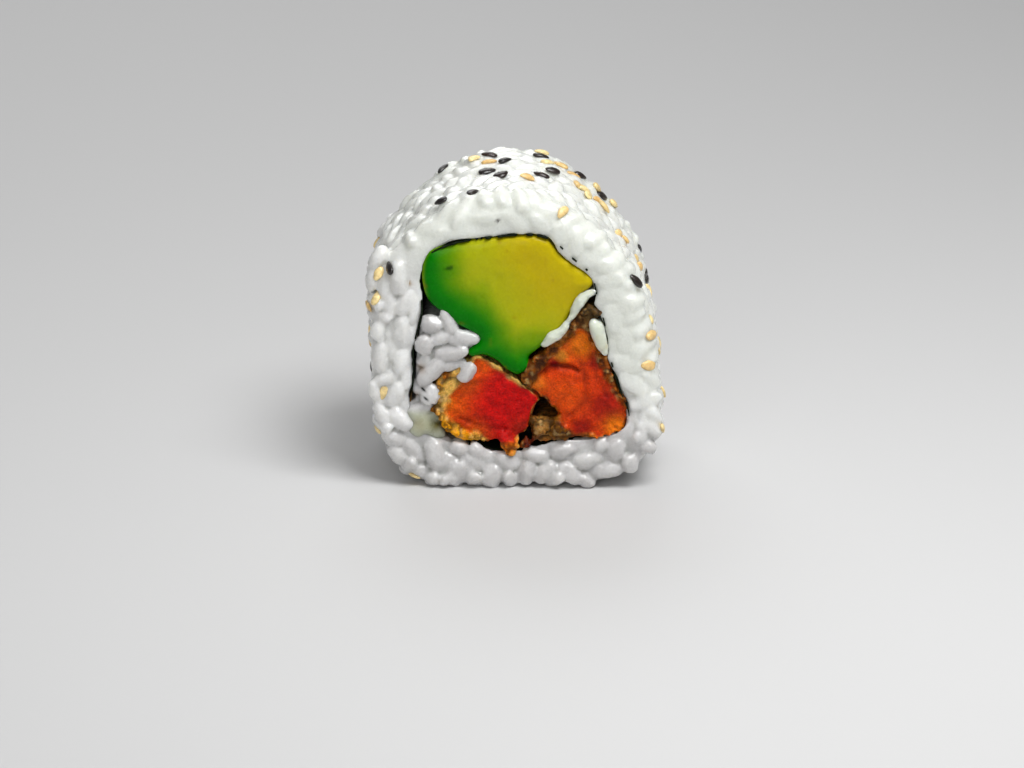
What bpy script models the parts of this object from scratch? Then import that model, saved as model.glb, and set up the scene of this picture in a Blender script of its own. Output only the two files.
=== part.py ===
"""Uramaki roll: one thick slice of an inside-out sushi roll, standing on its flattened side.

The roll's axis runs along Y and the cut faces look along -Y and +Y. +Z is up, and the origin is
under the slice's middle, on the surface that it stands on. Every filling runs from cut to cut.
"""

import math
import random

import bmesh
import bpy
from mathutils import Matrix, Vector, noise

MM = 0.001

# Driving sizes of the slice
WIDTH = 50.0 * MM
HEIGHT = 52.0 * MM
DEPTH = 31.0 * MM
GAP = 0.3 * MM

# How far the fillings and the rice's core stay behind the foremost grains at a cut face
FACE_SET_BACK = 0.4 * MM

# Cooked short-grain rice, and the seeds stuck to it
GRAIN_LENGTH = 6.0 * MM
GRAIN_WIDTH = 2.7 * MM
GRAIN_THICKNESS = 2.3 * MM
GRAIN_STANDS_PROUD = 0.75 * MM
GRAIN_SIDES, GRAIN_ROWS = 6, 4
SEED_LENGTH = 3.0 * MM
SEED_WIDTH = 1.9 * MM
SEED_THICKNESS = 1.1 * MM
SEED_SIDES, SEED_ROWS = 5, 3

# Whole grains show on a cut face below the first height, and left of the middle up to the second
LOOSE_TOP = 7.5 * MM
LOOSE_SIDE_TOP = 37.0 * MM

# Most triangles that each rice solid keeps
RICE_TRIANGLES = 9600
INNER_RICE_TRIANGLES = 1000

# The seaweed sheet
NORI_THICKNESS = 0.5 * MM

# Rounding of the rice core's rims at the cut faces: how far each ring of the loft lies from the
# cut, and how much narrower it is there
RIM = [(0.0, 2.2 * MM), (0.9 * MM, 0.9 * MM), (2.6 * MM, 0.0)]

# Outline of the rice core seen from the front, in millimetres across and up: a flat foot,
# nearly straight sides that flare a little, and a round crown
RICE_OUTLINE = [
    (-14.0, 0.5), (0.0, 0.5), (13.0, 0.5), (20.2, 3.4), (23.4, 8.0), (24.0, 14.0), (23.2, 21.0),
    (22.3, 28.0), (20.4, 35.0), (15.8, 42.2), (8.0, 48.3), (-1.0, 50.9), (-9.6, 49.2),
    (-16.6, 44.6), (-21.6, 38.2), (-24.0, 31.0), (-24.2, 22.0), (-23.6, 13.0), (-20.4, 5.2),
]

# Path of the seaweed sheet, from its end at the lower left, up, over the fillings and back
# under them. The last stretch at the lower left stays bare.
NORI_PATH = [
    (-17.6, 14.6), (-17.9, 20.0), (-17.5, 26.0), (-16.7, 31.0), (-16.6, 36.6), (-15.4, 41.0),
    (-11.0, 43.4), (-5.0, 44.5), (1.5, 45.1), (5.6, 44.3), (9.0, 41.4), (12.4, 38.2),
    (13.5, 34.4), (14.8, 29.6), (15.9, 23.6), (17.3, 18.6), (19.0, 14.4), (19.0, 11.2),
    (16.4, 9.2), (11.0, 8.3), (6.4, 7.8), (1.4, 6.2), (-3.6, 6.2), (-8.0, 7.6),
]
BARE_CORNER = [(-13.0, 8.6), (-16.6, 10.6)]

AVOCADO_OUTLINE = [
    (-16.0, 37.4), (-15.4, 40.4), (-12.6, 42.2), (-6.4, 43.6), (0.4, 44.3), (4.4, 43.9),
    (7.0, 41.6), (9.6, 39.4), (12.3, 37.4), (11.6, 35.4), (9.8, 33.6), (8.4, 30.6), (6.2, 27.0),
    (3.9, 24.9), (1.6, 22.9), (1.2, 21.0), (-0.4, 20.1), (-2.8, 21.4), (-4.3, 23.0),
    (-6.4, 24.2), (-7.3, 26.2), (-9.6, 28.8), (-12.4, 31.4), (-15.0, 34.0),
]

# A ribbon of cream along the avocado's lower right side, and a blob of it beside the batter
CREAM_RIBBON = [
    (13.9, 34.9), (11.9, 33.4), (10.9, 31.8), (9.4, 29.9), (7.9, 27.0), (5.7, 25.6),
    (4.6, 26.3), (6.2, 28.3), (8.0, 31.0), (9.5, 33.0), (10.8, 34.8), (13.4, 35.8),
]
CREAM_BLOB = [(12.3, 29.6), (14.0, 29.6), (14.8, 27.4), (15.2, 24.4), (13.9, 24.2), (13.2, 26.4)]

# Two battered sweet potato sticks. Each outline goes round the flesh and its batter, and the
# named stretch of it, as a share of the way round, is rough batter.
RIGHT_STICK = [
    (2.6, 17.2), (1.9, 19.4), (3.4, 22.2), (5.8, 24.4), (7.6, 27.0), (8.4, 29.4), (9.6, 30.0),
    (10.6, 31.6), (12.6, 31.8), (12.7, 30.2), (12.0, 28.8), (12.8, 26.0), (13.6, 23.6),
    (15.2, 22.4), (16.4, 18.8), (18.2, 15.0), (18.4, 12.0), (17.2, 10.0), (14.0, 9.2),
    (9.6, 8.8), (6.0, 8.4), (3.2, 8.2), (2.8, 10.2), (4.0, 11.8), (7.3, 12.4), (5.4, 14.8),
    (4.2, 16.1),
]
RIGHT_BATTER = [(0.0, 0.42), (0.62, 0.80)]
LEFT_STICK = [
    (3.9, 15.6), (2.0, 17.4), (-1.2, 19.8), (-4.4, 22.2), (-6.6, 23.6), (-9.2, 22.6),
    (-12.2, 20.6), (-13.9, 18.2), (-13.5, 15.8), (-14.8, 13.9), (-13.0, 11.8), (-12.4, 9.6),
    (-10.2, 8.2), (-7.0, 8.6), (-4.6, 7.9), (-1.6, 8.6), (0.6, 8.4), (1.9, 9.8), (2.1, 12.6),
    (3.3, 14.2),
]
LEFT_BATTER = [(0.30, 0.72)]
BATTER_ROUGHNESS = 0.55 * MM

# The small heap of rice inside the seaweed: its core's outline, and how far the core stays
# behind each cut
INNER_RICE = [
    (-16.6, 12.8), (-16.9, 20.0), (-16.5, 26.0), (-15.8, 30.6), (-14.0, 32.0), (-10.6, 29.0),
    (-8.2, 26.4), (-7.4, 24.4), (-10.0, 23.0), (-13.6, 20.6), (-14.8, 17.6), (-14.6, 15.2),
    (-15.4, 13.6),
]
INNER_RICE_SET_BACK = 1.2 * MM

# Sesame seeds seen from the front, in millimetres: how far along the rice outline clockwise
# from the foot's left end, how far behind the front cut, and the turn in degrees
SEEDS_SHOWN = [
    (-9.0, 7.5, 10), (-5.4, 9.5, 50), (-7.4, 3.6, 70), (-11.6, 2.6, 20), (-3.6, 14.0, 0),
    (-1.0, 19.0, 80), (2.4, 12.0, 15), (4.6, 7.0, 95), (5.6, 15.0, 30), (8.6, 11.0, 60),
    (9.6, 17.5, 20), (11.4, 7.2, 75), (12.4, 13.5, 40), (14.0, 3.0, 80), (14.4, 19.0, 10),
    (15.8, 9.5, 55), (17.0, 15.0, 85), (19.0, 6.0, 70), (21.4, 11.0, 30), (23.0, 4.0, 60),
    (25.6, 8.0, 85), (28.4, 3.4, 20), (33.0, 7.5, 80), (38.0, 4.0, 60), (44.0, 9.0, 90),
    (-20.0, 9.0, 40), (-33.0, 2.4, 70), (-36.0, 2.0, 10), (-47.0, 5.0, 60),
]
SEEDS_BEHIND = 16
RANDOM_SEED = 11


def material(name, colour, roughness):
    """A plain Principled material in the part's own colour."""
    made = bpy.data.materials.new(name)
    made.use_nodes = True
    shader = made.node_tree.nodes["Principled BSDF"]
    shader.inputs["Base Color"].default_value = (*colour, 1.0)
    shader.inputs["Roughness"].default_value = roughness
    shader.inputs["Metallic"].default_value = 0.0
    return made


def curved(points, spans=2, closed=True):
    """A smooth line through points given in millimetres, as vectors in metres across and up."""
    count = len(points)
    line = []
    for i in range(count if closed else count - 1):
        ends = [points[i - 1], points[i], points[(i + 1) % count], points[(i + 2) % count]]
        if not closed:
            ends[0] = points[max(i - 1, 0)]
            ends[3] = points[min(i + 2, count - 1)]
        before, start, end, after = (Vector(p) * MM for p in ends)
        for step in range(spans):
            t = step / spans
            line.append(
                0.5 * (2 * start + (end - before) * t
                       + (2 * before - 5 * start + 4 * end - after) * t**2
                       + (3 * start - before - 3 * end + after) * t**3)
            )
    if not closed:
        line.append(Vector(points[-1]) * MM)
    return line


def area(line):
    """Signed area of a closed line: positive when it runs counter-clockwise."""
    return 0.5 * sum(a.cross(b) for a, b in zip(line, line[1:] + line[:1]))


def normals_of(line, closed=True):
    """Unit normals at the line's points, on the right-hand side of its way."""
    found = []
    for i, point in enumerate(line):
        before = line[i - 1] if closed or i else point
        after = line[(i + 1) % len(line)] if closed or i < len(line) - 1 else point
        way = (after - before).normalized()
        found.append(Vector((way.y, -way.x)))
    return found


def grown(line, by):
    """A closed line moved outwards by a distance."""
    side = 1.0 if area(line) > 0 else -1.0
    return [p + n * side * by for p, n in zip(line, normals_of(line))]


def evenly(line, count):
    """Points, ways and outward normals at even steps along a closed line."""
    side = 1.0 if area(line) > 0 else -1.0
    ends = line[1:] + line[:1]
    lengths = [(b - a).length for a, b in zip(line, ends)]
    step = sum(lengths) / count
    places = []
    index, walked = 0, 0.0
    for i in range(count):
        while walked + lengths[index] < i * step:
            walked += lengths[index]
            index += 1
        way = (ends[index] - line[index]).normalized()
        point = line[index] + way * (i * step - walked)
        places.append((point, way, Vector((way.y, -way.x)) * side))
    return places


def mesh_object(name, mesh_maker, paint):
    """A closed mesh object with outward faces, built by a function that fills a bmesh."""
    work = bmesh.new()
    mesh_maker(work)
    bmesh.ops.triangulate(work, faces=work.faces)
    bmesh.ops.recalc_face_normals(work, faces=work.faces)
    mesh = bpy.data.meshes.new(name)
    work.to_mesh(mesh)
    work.free()
    mesh.materials.append(paint)
    made = bpy.data.objects.new(name, mesh)
    bpy.context.scene.collection.objects.link(made)
    return made


def skin_rings(work, rings):
    """Faces between rings of the same number of points, and a cap on the first and last ring."""
    rows = [[work.verts.new(p) for p in ring] for ring in rings]
    count = len(rows[0])
    for a, b in zip(rows, rows[1:]):
        for i in range(count):
            work.faces.new((a[i], a[(i + 1) % count], b[(i + 1) % count], b[i]))
    work.faces.new(rows[0])
    work.faces.new(list(reversed(rows[-1])))


def filling(name, line, half_depth, paint, relief=None, stations=2, rim=0.35 * MM):
    """A filling that runs from cut to cut. relief moves each point outwards, by its share of the
    way round and its place along the roll."""
    ways_out = normals_of(line)
    side = 1.0 if area(line) > 0 else -1.0
    along = [-half_depth + rim + i * 2 * (half_depth - rim) / (stations - 1) for i in range(stations)]
    insets = [rim] + [0.0] * stations + [rim]
    along = [-half_depth] + along + [half_depth]

    def fill(work):
        rings = []
        for y, inset in zip(along, insets):
            ring = []
            for i, (point, out) in enumerate(zip(line, ways_out)):
                extra = relief(i / len(line), y) if relief else 0.0
                moved = point + out * side * (extra - inset)
                ring.append((moved.x, y, moved.y))
            rings.append(ring)
        skin_rings(work, rings)

    return mesh_object(name, fill, paint)


def batter_relief(stretches, salt):
    """Crags of fried batter on the named stretches of an outline, fading out at their ends."""
    fade = 0.04

    def relief(share, y):
        weight = 0.0
        for start, end in stretches:
            weight = max(weight, min(1.0, (share - start) / fade, (end - share) / fade))
        crag = noise.noise(Vector((share * 38.0, y / (3.2 * MM), salt)))
        return max(weight, 0.0) * BATTER_ROUGHNESS * (crag - 0.35)

    return relief


def prism(name, line, half_depth):
    """A plain cutter of the line's shape."""

    def fill(work):
        skin_rings(work, [[(p.x, y, p.y) for p in line] for y in (-half_depth, half_depth)])

    cutter = mesh_object(name, fill, bpy.data.materials[0])
    cutter.hide_render = True
    cutter.display_type = "WIRE"
    return cutter


def apply_boolean(piece, operation, other=None, collection=None):
    """One Boolean on a piece, applied."""
    cut = piece.modifiers.new("boolean", "BOOLEAN")
    cut.operation = operation
    cut.solver = "MANIFOLD"
    if collection:
        cut.operand_type = "COLLECTION"
        cut.collection = collection
    else:
        cut.object = other
    graph = bpy.context.evaluated_depsgraph_get()
    result = bpy.data.meshes.new_from_object(piece.evaluated_get(graph))
    piece.modifiers.clear()
    piece.data = result


def keep_largest_shell(piece):
    """Drops loose scraps and the walls of sealed hollows, which are shells of their own."""
    work = bmesh.new()
    work.from_mesh(piece.data)
    bmesh.ops.triangulate(work, faces=work.faces)
    seen, shells = set(), []
    for start in work.faces:
        if start in seen:
            continue
        shell, queue = [], [start]
        seen.add(start)
        while queue:
            face = queue.pop()
            shell.append(face)
            for edge in face.edges:
                for near in edge.link_faces:
                    if near not in seen:
                        seen.add(near)
                        queue.append(near)
        shells.append(shell)
    shells.sort(key=lambda shell: sum(f.calc_area() for f in shell))
    scraps = [face for shell in shells[:-1] for face in shell]
    bmesh.ops.delete(work, geom=scraps, context="FACES")
    work.to_mesh(piece.data)
    work.free()


def simplify(piece, triangles):
    """Merges the least needed edges of a trimmed piece until it has about so many triangles.
    Points that this moves past a cut face or the floor go back onto it."""
    merge = piece.modifiers.new("simplify", "DECIMATE")
    merge.ratio = triangles / len(piece.data.polygons)
    graph = bpy.context.evaluated_depsgraph_get()
    result = bpy.data.meshes.new_from_object(piece.evaluated_get(graph))
    piece.modifiers.clear()
    piece.data = result
    for point in result.vertices:
        point.co.y = max(-DEPTH / 2, min(point.co.y, DEPTH / 2))
        point.co.z = max(point.co.z, 0.0)


def cut_back(piece, neighbours, half_depth):
    """Trims a piece to stay one gap away from its neighbours' outlines."""
    for i, line in enumerate(neighbours):
        cutter = prism(f"cutter_{i}", grown(line, GAP), half_depth + 2 * MM)
        apply_boolean(piece, "DIFFERENCE", cutter)
        bpy.data.objects.remove(cutter)
    keep_largest_shell(piece)


def ellipsoid(size, sides, rows):
    """A grain or seed along X with pointed ends, as points and faces of low count."""

    def fill(work):
        rings = []
        for row in range(1, rows):
            angle = math.pi * row / rows
            wide = math.sin(angle) ** 0.8
            ring = []
            for i in range(sides):
                turn = 2 * math.pi * (i + 0.5 * (row % 2)) / sides
                ring.append((
                    -size[0] / 2 * math.cos(angle),
                    size[1] / 2 * wide * math.cos(turn),
                    size[2] / 2 * wide * math.sin(turn),
                ))
            rings.append([work.verts.new(p) for p in ring])
        tips = [work.verts.new((x, 0, 0)) for x in (-size[0] / 2, size[0] / 2)]
        for tip, ring in zip(tips, (rings[0], rings[-1])):
            for i in range(sides):
                work.faces.new((tip, ring[i], ring[(i + 1) % sides]))
        for a, b in zip(rings, rings[1:]):
            for i in range(sides):
                j = (i + 1) % sides
                work.faces.new((a[i], a[j], b[j], b[i]))

    return fill


def laid(centre, out, way, turn, tilt):
    """The placing of a piece that lies on a surface: its long side along way, turned about out."""
    out = out.normalized()
    way = (way - out * way.dot(out)).normalized()
    frame = Matrix((way, out.cross(way), out)).transposed()
    spin = Matrix.Rotation(turn, 3, "Z") @ Matrix.Rotation(tilt, 3, "Y")
    return Matrix.Translation(centre) @ (frame @ spin).to_4x4()


def scatter(places, shape_maker, sizes, collection, paint, draw):
    """One small object for each place, in the collection that a union will join."""
    for i, placing in enumerate(places):
        size = [s * draw.uniform(0.88, 1.08) for s in sizes]
        piece = mesh_object(f"{collection.name}_{i}", shape_maker(size), paint)
        piece.data.transform(placing)
        bpy.context.scene.collection.objects.unlink(piece)
        collection.objects.link(piece)


def side_grains(line, half_depth, draw):
    """Rows of grains over the roll's outside, each turned its own way."""
    around, rows = 34, 7
    places = []
    for row in range(rows):
        y = -half_depth + (row + 0.5) * 2 * half_depth / rows
        for point, way, out in evenly(line, around):
            shift = way * (0.5 * (row % 2) + draw.uniform(-0.2, 0.2)) * GRAIN_LENGTH * 0.8
            low = GRAIN_THICKNESS / 2 - GRAIN_STANDS_PROUD * draw.uniform(0.8, 1.15)
            centre = point + shift - out * low
            places.append(laid(
                Vector((centre.x, y + draw.uniform(-0.7, 0.7) * MM, centre.y)),
                Vector((out.x, 0, out.y)),
                Vector((way.x, 0, way.y)),
                draw.uniform(0, math.pi),
                draw.uniform(-0.2, 0.2),
            ))
    return places


def face_grains(outer, hole, half_depth, draw):
    """Grains on the cut faces where the knife left them whole: down the left side and along
    the foot. Elsewhere it pressed the rice smooth."""
    places = []
    for face in (-1, 1):
        for share, count in ((0.24, 30), (0.56, 34), (0.84, 40)):
            for point, way, _ in evenly(between(hole, outer, share), count):
                if point.y > LOOSE_TOP and (point.x > 0 or point.y > LOOSE_SIDE_TOP):
                    continue
                low = GRAIN_THICKNESS / 2 - GRAIN_STANDS_PROUD * draw.uniform(0.5, 1.0)
                places.append(laid(
                    Vector((point.x, face * (half_depth - low), point.y)),
                    Vector((0, face, 0)),
                    Vector((way.x, 0, way.y)),
                    draw.uniform(-0.9, 0.9),
                    draw.uniform(-0.2, 0.2),
                ))
    return places


def between(inner, outer, share):
    """A closed line that lies at a share of the way from one line to the other."""
    centre = sum(inner, Vector((0, 0))) / len(inner)
    line = []
    for point in outer:
        way = (point - centre).normalized()
        near = max(inner, key=lambda p: (p - centre).normalized().dot(way))
        line.append(near.lerp(point, share))
    return line


def seed_places(line, half_depth, draw):
    """Where the sesame seeds lie: those that show from the front, and some scattered behind."""
    ring = evenly(line, 320)
    length = sum((b - a).length for a, b in zip(line, line[1:] + line[:1]))
    crown = max(range(len(ring)), key=lambda i: ring[i][0].y)
    clockwise = -1 if area(line) > 0 else 1
    wanted = [(a * MM, d * MM, math.radians(t)) for a, d, t in SEEDS_SHOWN]
    for _ in range(SEEDS_BEHIND):
        wanted.append((
            draw.uniform(-48, 52) * MM,
            draw.uniform(0.55, 0.92) * 2 * half_depth,
            draw.uniform(0, math.pi),
        ))
    places = []
    for around, behind, turn in wanted:
        index = round(around / length * len(ring)) * clockwise
        point, way, out = ring[(crown + index) % len(ring)]
        centre = point + out * (SEED_THICKNESS / 2 - 0.25 * MM)
        places.append(laid(
            Vector((centre.x, -half_depth + behind, centre.y)),
            Vector((out.x, 0, out.y)),
            Vector((way.x, 0, way.y)),
            turn,
            0.0,
        ))
    return places


def rice_ring(outer, hole, half_depth, paint, draw):
    """The outer ring of rice: a core with the grains and seeds that show fused on."""

    stations = [(-half_depth + y, inset) for y, inset in RIM]
    stations += [(half_depth - y, inset) for y, inset in reversed(RIM)]

    def fill(work):
        skin_rings(work, [[(p.x, y, p.y) for p in grown(outer, -inset)] for y, inset in stations])

    core = mesh_object("rice", fill, paint)
    grains = bpy.data.collections.new("grains")
    bpy.context.scene.collection.children.link(grains)
    grain_size = (GRAIN_LENGTH, GRAIN_WIDTH, GRAIN_THICKNESS)
    seed_size = (SEED_LENGTH, SEED_WIDTH, SEED_THICKNESS)
    places = side_grains(outer, half_depth, draw) + face_grains(outer, hole, half_depth, draw)
    scatter(places, lambda s: ellipsoid(s, GRAIN_SIDES, GRAIN_ROWS), grain_size, grains, paint, draw)
    seeds = seed_places(outer, half_depth, draw)
    scatter(seeds, lambda s: ellipsoid(s, SEED_SIDES, SEED_ROWS), seed_size, grains, paint, draw)
    join_collection(core, grains)
    cutter = prism("cutter_hole", hole, half_depth + 4 * MM)
    apply_boolean(core, "DIFFERENCE", cutter)
    bpy.data.objects.remove(cutter)
    trim(core)
    simplify(core, RICE_TRIANGLES)
    return core


def join_collection(core, collection):
    """One Boolean union of a core and a collection of small pieces, which are then removed."""
    apply_boolean(core, "UNION", collection=collection)
    for piece in list(collection.objects):
        bpy.data.objects.remove(piece)
    bpy.data.collections.remove(collection)


def trim(piece):
    """Cuts off what is beyond the two cut faces or below the surface that the slice stands on."""

    def fill(work):
        room = Matrix.Diagonal((3 * WIDTH, DEPTH, 2 * HEIGHT, 1.0))
        bmesh.ops.create_cube(work, size=1.0, matrix=Matrix.Translation((0, 0, HEIGHT)) @ room)

    block = mesh_object("cutter_block", fill, bpy.data.materials[0])
    apply_boolean(piece, "INTERSECT", block)
    bpy.data.objects.remove(block)
    keep_largest_shell(piece)


def nori_sheet(path, half_depth, paint):
    """The seaweed: a thin strip along its path, from cut to cut."""
    line = curved(path, closed=False)

    def fill(work):
        rings = []
        for point, out in zip(line, normals_of(line, closed=False)):
            near = point - out * NORI_THICKNESS / 2
            far = point + out * NORI_THICKNESS / 2
            rings.append([
                (near.x, -half_depth, near.y), (far.x, -half_depth, far.y),
                (far.x, half_depth, far.y), (near.x, half_depth, near.y),
            ])
        skin_rings(work, rings)

    return mesh_object("nori", fill, paint)


def inner_rice(line, half_depth, paint, draw, neighbours, room):
    """The small heap of rice inside the seaweed, with whole grains at both cuts."""
    core = filling("inner_rice", line, half_depth - INNER_RICE_SET_BACK, paint)
    grains = bpy.data.collections.new("inner_grains")
    bpy.context.scene.collection.children.link(grains)
    places = []
    spots = [(-14.6, 28.6), (-11.6, 28.2), (-15.0, 25.4), (-12.0, 25.2), (-9.2, 25.2),
             (-15.2, 22.0), (-12.4, 22.4), (-15.4, 18.8), (-15.6, 15.6)]
    for face in (-1, 1):
        for x, z in spots:
            y = face * (half_depth - GRAIN_LENGTH * draw.uniform(0.28, 0.38))
            way = Vector((draw.uniform(-0.9, 0.9), face, draw.uniform(-0.9, 0.9)))
            places.append(laid(Vector((x * MM, y, z * MM)), Vector((1, 0, 0.3)), way, 0.0, 0.0))
    size = (GRAIN_LENGTH, GRAIN_WIDTH, GRAIN_THICKNESS)
    scatter(places, lambda s: ellipsoid(s, GRAIN_SIDES, GRAIN_ROWS), size, grains, paint, draw)
    join_collection(core, grains)
    bound = prism("cutter_room", room, half_depth + 4 * MM)
    apply_boolean(core, "INTERSECT", bound)
    bpy.data.objects.remove(bound)
    cut_back(core, neighbours, half_depth)
    trim(core)
    simplify(core, INNER_RICE_TRIANGLES)
    return core


def centre_across(pieces):
    """Moves all pieces sideways so that the slice's middle is at the origin."""
    reach = [v.co.x for piece in pieces for v in piece.data.vertices]
    middle = (min(reach) + max(reach)) / 2
    for piece in pieces:
        piece.data.transform(Matrix.Translation((-middle, 0, 0)))


def smooth_shade(piece, sharp_degrees):
    """Smooth shading, with edges sharper than an angle kept sharp."""
    piece.data.shade_smooth()
    piece.data.set_sharp_from_angle(angle=math.radians(sharp_degrees))


def main():
    for old in list(bpy.data.objects):
        bpy.data.objects.remove(old)
    rice_paint = material("cooked_rice", (0.78, 0.79, 0.76), 0.4)
    nori_paint = material("seaweed", (0.012, 0.022, 0.012), 0.6)
    avocado_paint = material("avocado_flesh", (0.38, 0.40, 0.03), 0.45)
    cream_paint = material("soft_cream", (0.62, 0.63, 0.48), 0.25)
    potato_paint = material("battered_sweet_potato", (0.50, 0.05, 0.01), 0.5)

    draw = random.Random(RANDOM_SEED)
    half = DEPTH / 2 - FACE_SET_BACK
    outer = curved(RICE_OUTLINE)
    loop = curved(NORI_PATH + BARE_CORNER)
    clearance = NORI_THICKNESS / 2 + GAP
    hole = grown(loop, clearance)
    room = grown(loop, -clearance)
    avocado_line = curved(AVOCADO_OUTLINE)
    ribbon_line = curved(CREAM_RIBBON)
    blob_line = curved(CREAM_BLOB)
    right_line = curved(RIGHT_STICK)
    left_line = curved(LEFT_STICK)

    rice = rice_ring(outer, hole, half, rice_paint, draw)
    nori = nori_sheet(NORI_PATH, half, nori_paint)
    avocado = filling("avocado", avocado_line, half, avocado_paint)
    ribbon = filling("cream_ribbon", ribbon_line, half, cream_paint)
    blob = filling("cream_blob", blob_line, half, cream_paint)
    right = filling("sweet_potato_right", right_line, half, potato_paint,
                    batter_relief(RIGHT_BATTER, 3.0), stations=6)
    left = filling("sweet_potato_left", left_line, half, potato_paint,
                   batter_relief(LEFT_BATTER, 9.0), stations=6)
    for piece in (avocado, ribbon, blob, right, left):
        bound = prism("cutter_room", room, half + 2 * MM)
        apply_boolean(piece, "INTERSECT", bound)
        bpy.data.objects.remove(bound)
    cut_back(avocado, [ribbon_line], half)
    cut_back(blob, [avocado_line, ribbon_line], half)
    cut_back(right, [avocado_line, ribbon_line, blob_line], half)
    cut_back(left, [avocado_line, right_line], half)
    heap = inner_rice(curved(INNER_RICE), half, rice_paint, draw,
                      [avocado_line, left_line], room)
    centre_across([rice, heap, nori, avocado, ribbon, blob, right, left])
    for piece in (rice, heap):
        smooth_shade(piece, 50)
    for piece in (nori, avocado, ribbon, blob, right, left):
        smooth_shade(piece, 35)


main()
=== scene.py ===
"""The looks of the uramaki roll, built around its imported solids.

Shapes are worked out in millimetres and become metres when their mesh is made. X runs across the
roll, Y along its axis, away from the cut that the camera sees, and Z up.
"""

import itertools
import math

import bpy
import numpy as np
from mathutils import Matrix, Vector
from mathutils.bvhtree import BVHTree
from mathutils.geometry import tessellate_polygon
from mathutils.kdtree import KDTree


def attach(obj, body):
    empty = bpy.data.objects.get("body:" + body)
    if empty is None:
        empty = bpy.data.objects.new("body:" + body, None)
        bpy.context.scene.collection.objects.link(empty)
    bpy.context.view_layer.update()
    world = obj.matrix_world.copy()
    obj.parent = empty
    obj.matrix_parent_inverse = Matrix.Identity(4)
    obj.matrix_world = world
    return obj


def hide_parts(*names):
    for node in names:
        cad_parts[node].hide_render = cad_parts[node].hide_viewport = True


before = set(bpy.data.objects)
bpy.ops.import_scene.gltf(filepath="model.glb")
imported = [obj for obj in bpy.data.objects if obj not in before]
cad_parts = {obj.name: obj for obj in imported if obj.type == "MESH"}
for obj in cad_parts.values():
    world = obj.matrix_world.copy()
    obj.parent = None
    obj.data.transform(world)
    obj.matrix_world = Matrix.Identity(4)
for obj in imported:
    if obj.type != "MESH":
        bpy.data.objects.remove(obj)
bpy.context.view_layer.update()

MM = 0.001
RANDOM_SEED = 7300

# Half of the slice's thickness, and the rounding of the rice's rims at its cuts
HALF = 15.5
RIM_RADIUS = 3.8
FOOT_RIM_RADIUS = 1.4

# Silhouette of the rice seen along the roll
OUTLINE = [
    (-15.0, 0.1), (-8.0, 0.0), (0.0, 0.0), (8.0, 0.0), (14.5, 0.6), (20.4, 3.6), (23.8, 7.8),
    (24.9, 12.5), (24.5, 19.0), (23.8, 25.0), (22.6, 30.4), (20.3, 37.0), (16.2, 42.6),
    (11.0, 47.6), (5.6, 50.9), (-1.4, 52.3), (-9.0, 50.9), (-15.0, 47.4), (-20.6, 42.2),
    (-24.2, 36.8), (-25.1, 30.6), (-24.9, 22.0), (-24.5, 14.5), (-22.8, 8.4), (-19.6, 3.2),
]

# Middle line of the seaweed from its free end at the lower left, up and round to its other end,
# the corner that it leaves bare, its thickness and its gap to the rice
NORI_PATH = [
    (-18.0, 15.2), (-17.5, 19.6), (-17.5, 25.0), (-16.1, 31.0), (-16.5, 36.6), (-15.4, 41.0),
    (-11.0, 43.4), (-5.0, 44.5), (1.5, 45.1), (5.6, 44.3), (9.0, 41.4), (12.4, 38.2),
    (13.5, 34.4), (14.8, 29.6), (15.9, 23.6), (17.3, 18.6), (19.0, 14.4), (19.0, 11.2),
    (16.4, 9.2), (11.0, 8.3), (6.4, 7.8), (1.4, 6.2), (-3.6, 6.2), (-8.0, 7.6),
]
BARE_CORNER = [(-13.0, 8.6), (-16.6, 10.6)]
NORI_THICKNESS = 0.3
NORI_CLEARANCE = 0.25

# Stretches where the seaweed's edge shows through the rice drawn over it, as the bearing of each
# one's middle and half of its length, both in degrees
SHOWN_EDGES = [(68.0, 1.1), (59.2, 1.9), (50.4, 0.9), (39.0, 3.2), (18.6, 3.4), (-10.0, 1.6)]

# Cut fillings seen along the roll, and the flesh of the two sticks inside their batter
AVOCADO = [
    (-16.2, 38.8), (-15.8, 41.0), (-14.5, 42.5), (-10.8, 43.4), (-5.0, 44.3), (1.6, 44.8),
    (3.8, 44.6), (5.4, 43.7), (6.6, 42.1), (7.8, 40.9), (9.8, 39.5), (11.4, 38.4), (12.7, 37.2),
    (12.5, 35.9), (10.7, 34.4), (9.3, 31.8), (8.2, 29.6), (6.2, 27.0), (3.7, 24.8), (2.0, 23.2),
    (2.2, 21.5), (0.3, 20.1), (-1.7, 21.0), (-3.4, 22.6), (-5.6, 23.6), (-7.6, 23.2),
    (-8.6, 24.2), (-7.0, 25.4), (-6.4, 26.5), (-7.5, 27.6), (-10.0, 28.9), (-11.7, 30.4),
    (-13.9, 32.0), (-15.4, 33.8), (-16.1, 36.4),
]
LEFT_STICK = [
    (4.0, 15.8), (2.2, 17.6), (-1.0, 20.0), (-4.4, 22.4), (-6.5, 23.4), (-8.6, 22.4),
    (-11.3, 20.8), (-13.1, 19.3), (-14.0, 17.1), (-13.6, 15.3), (-14.6, 13.8), (-12.6, 11.9),
    (-11.7, 9.9), (-10.3, 8.7), (-7.4, 8.4), (-4.6, 7.8), (-2.0, 8.8), (0.6, 9.0), (2.0, 10.1),
    (2.5, 12.3), (3.4, 14.2),
]
LEFT_FLESH = [
    (4.2, 16.1), (0.8, 18.4), (-1.9, 20.1), (-4.5, 21.9), (-6.5, 22.6), (-7.9, 20.8),
    (-9.2, 18.6), (-10.9, 16.4), (-11.9, 14.2), (-11.0, 12.1), (-8.8, 10.2), (-6.4, 9.7),
    (-4.4, 7.6), (-0.1, 8.8), (2.4, 10.1), (2.8, 12.3), (3.6, 14.4),
]
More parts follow.
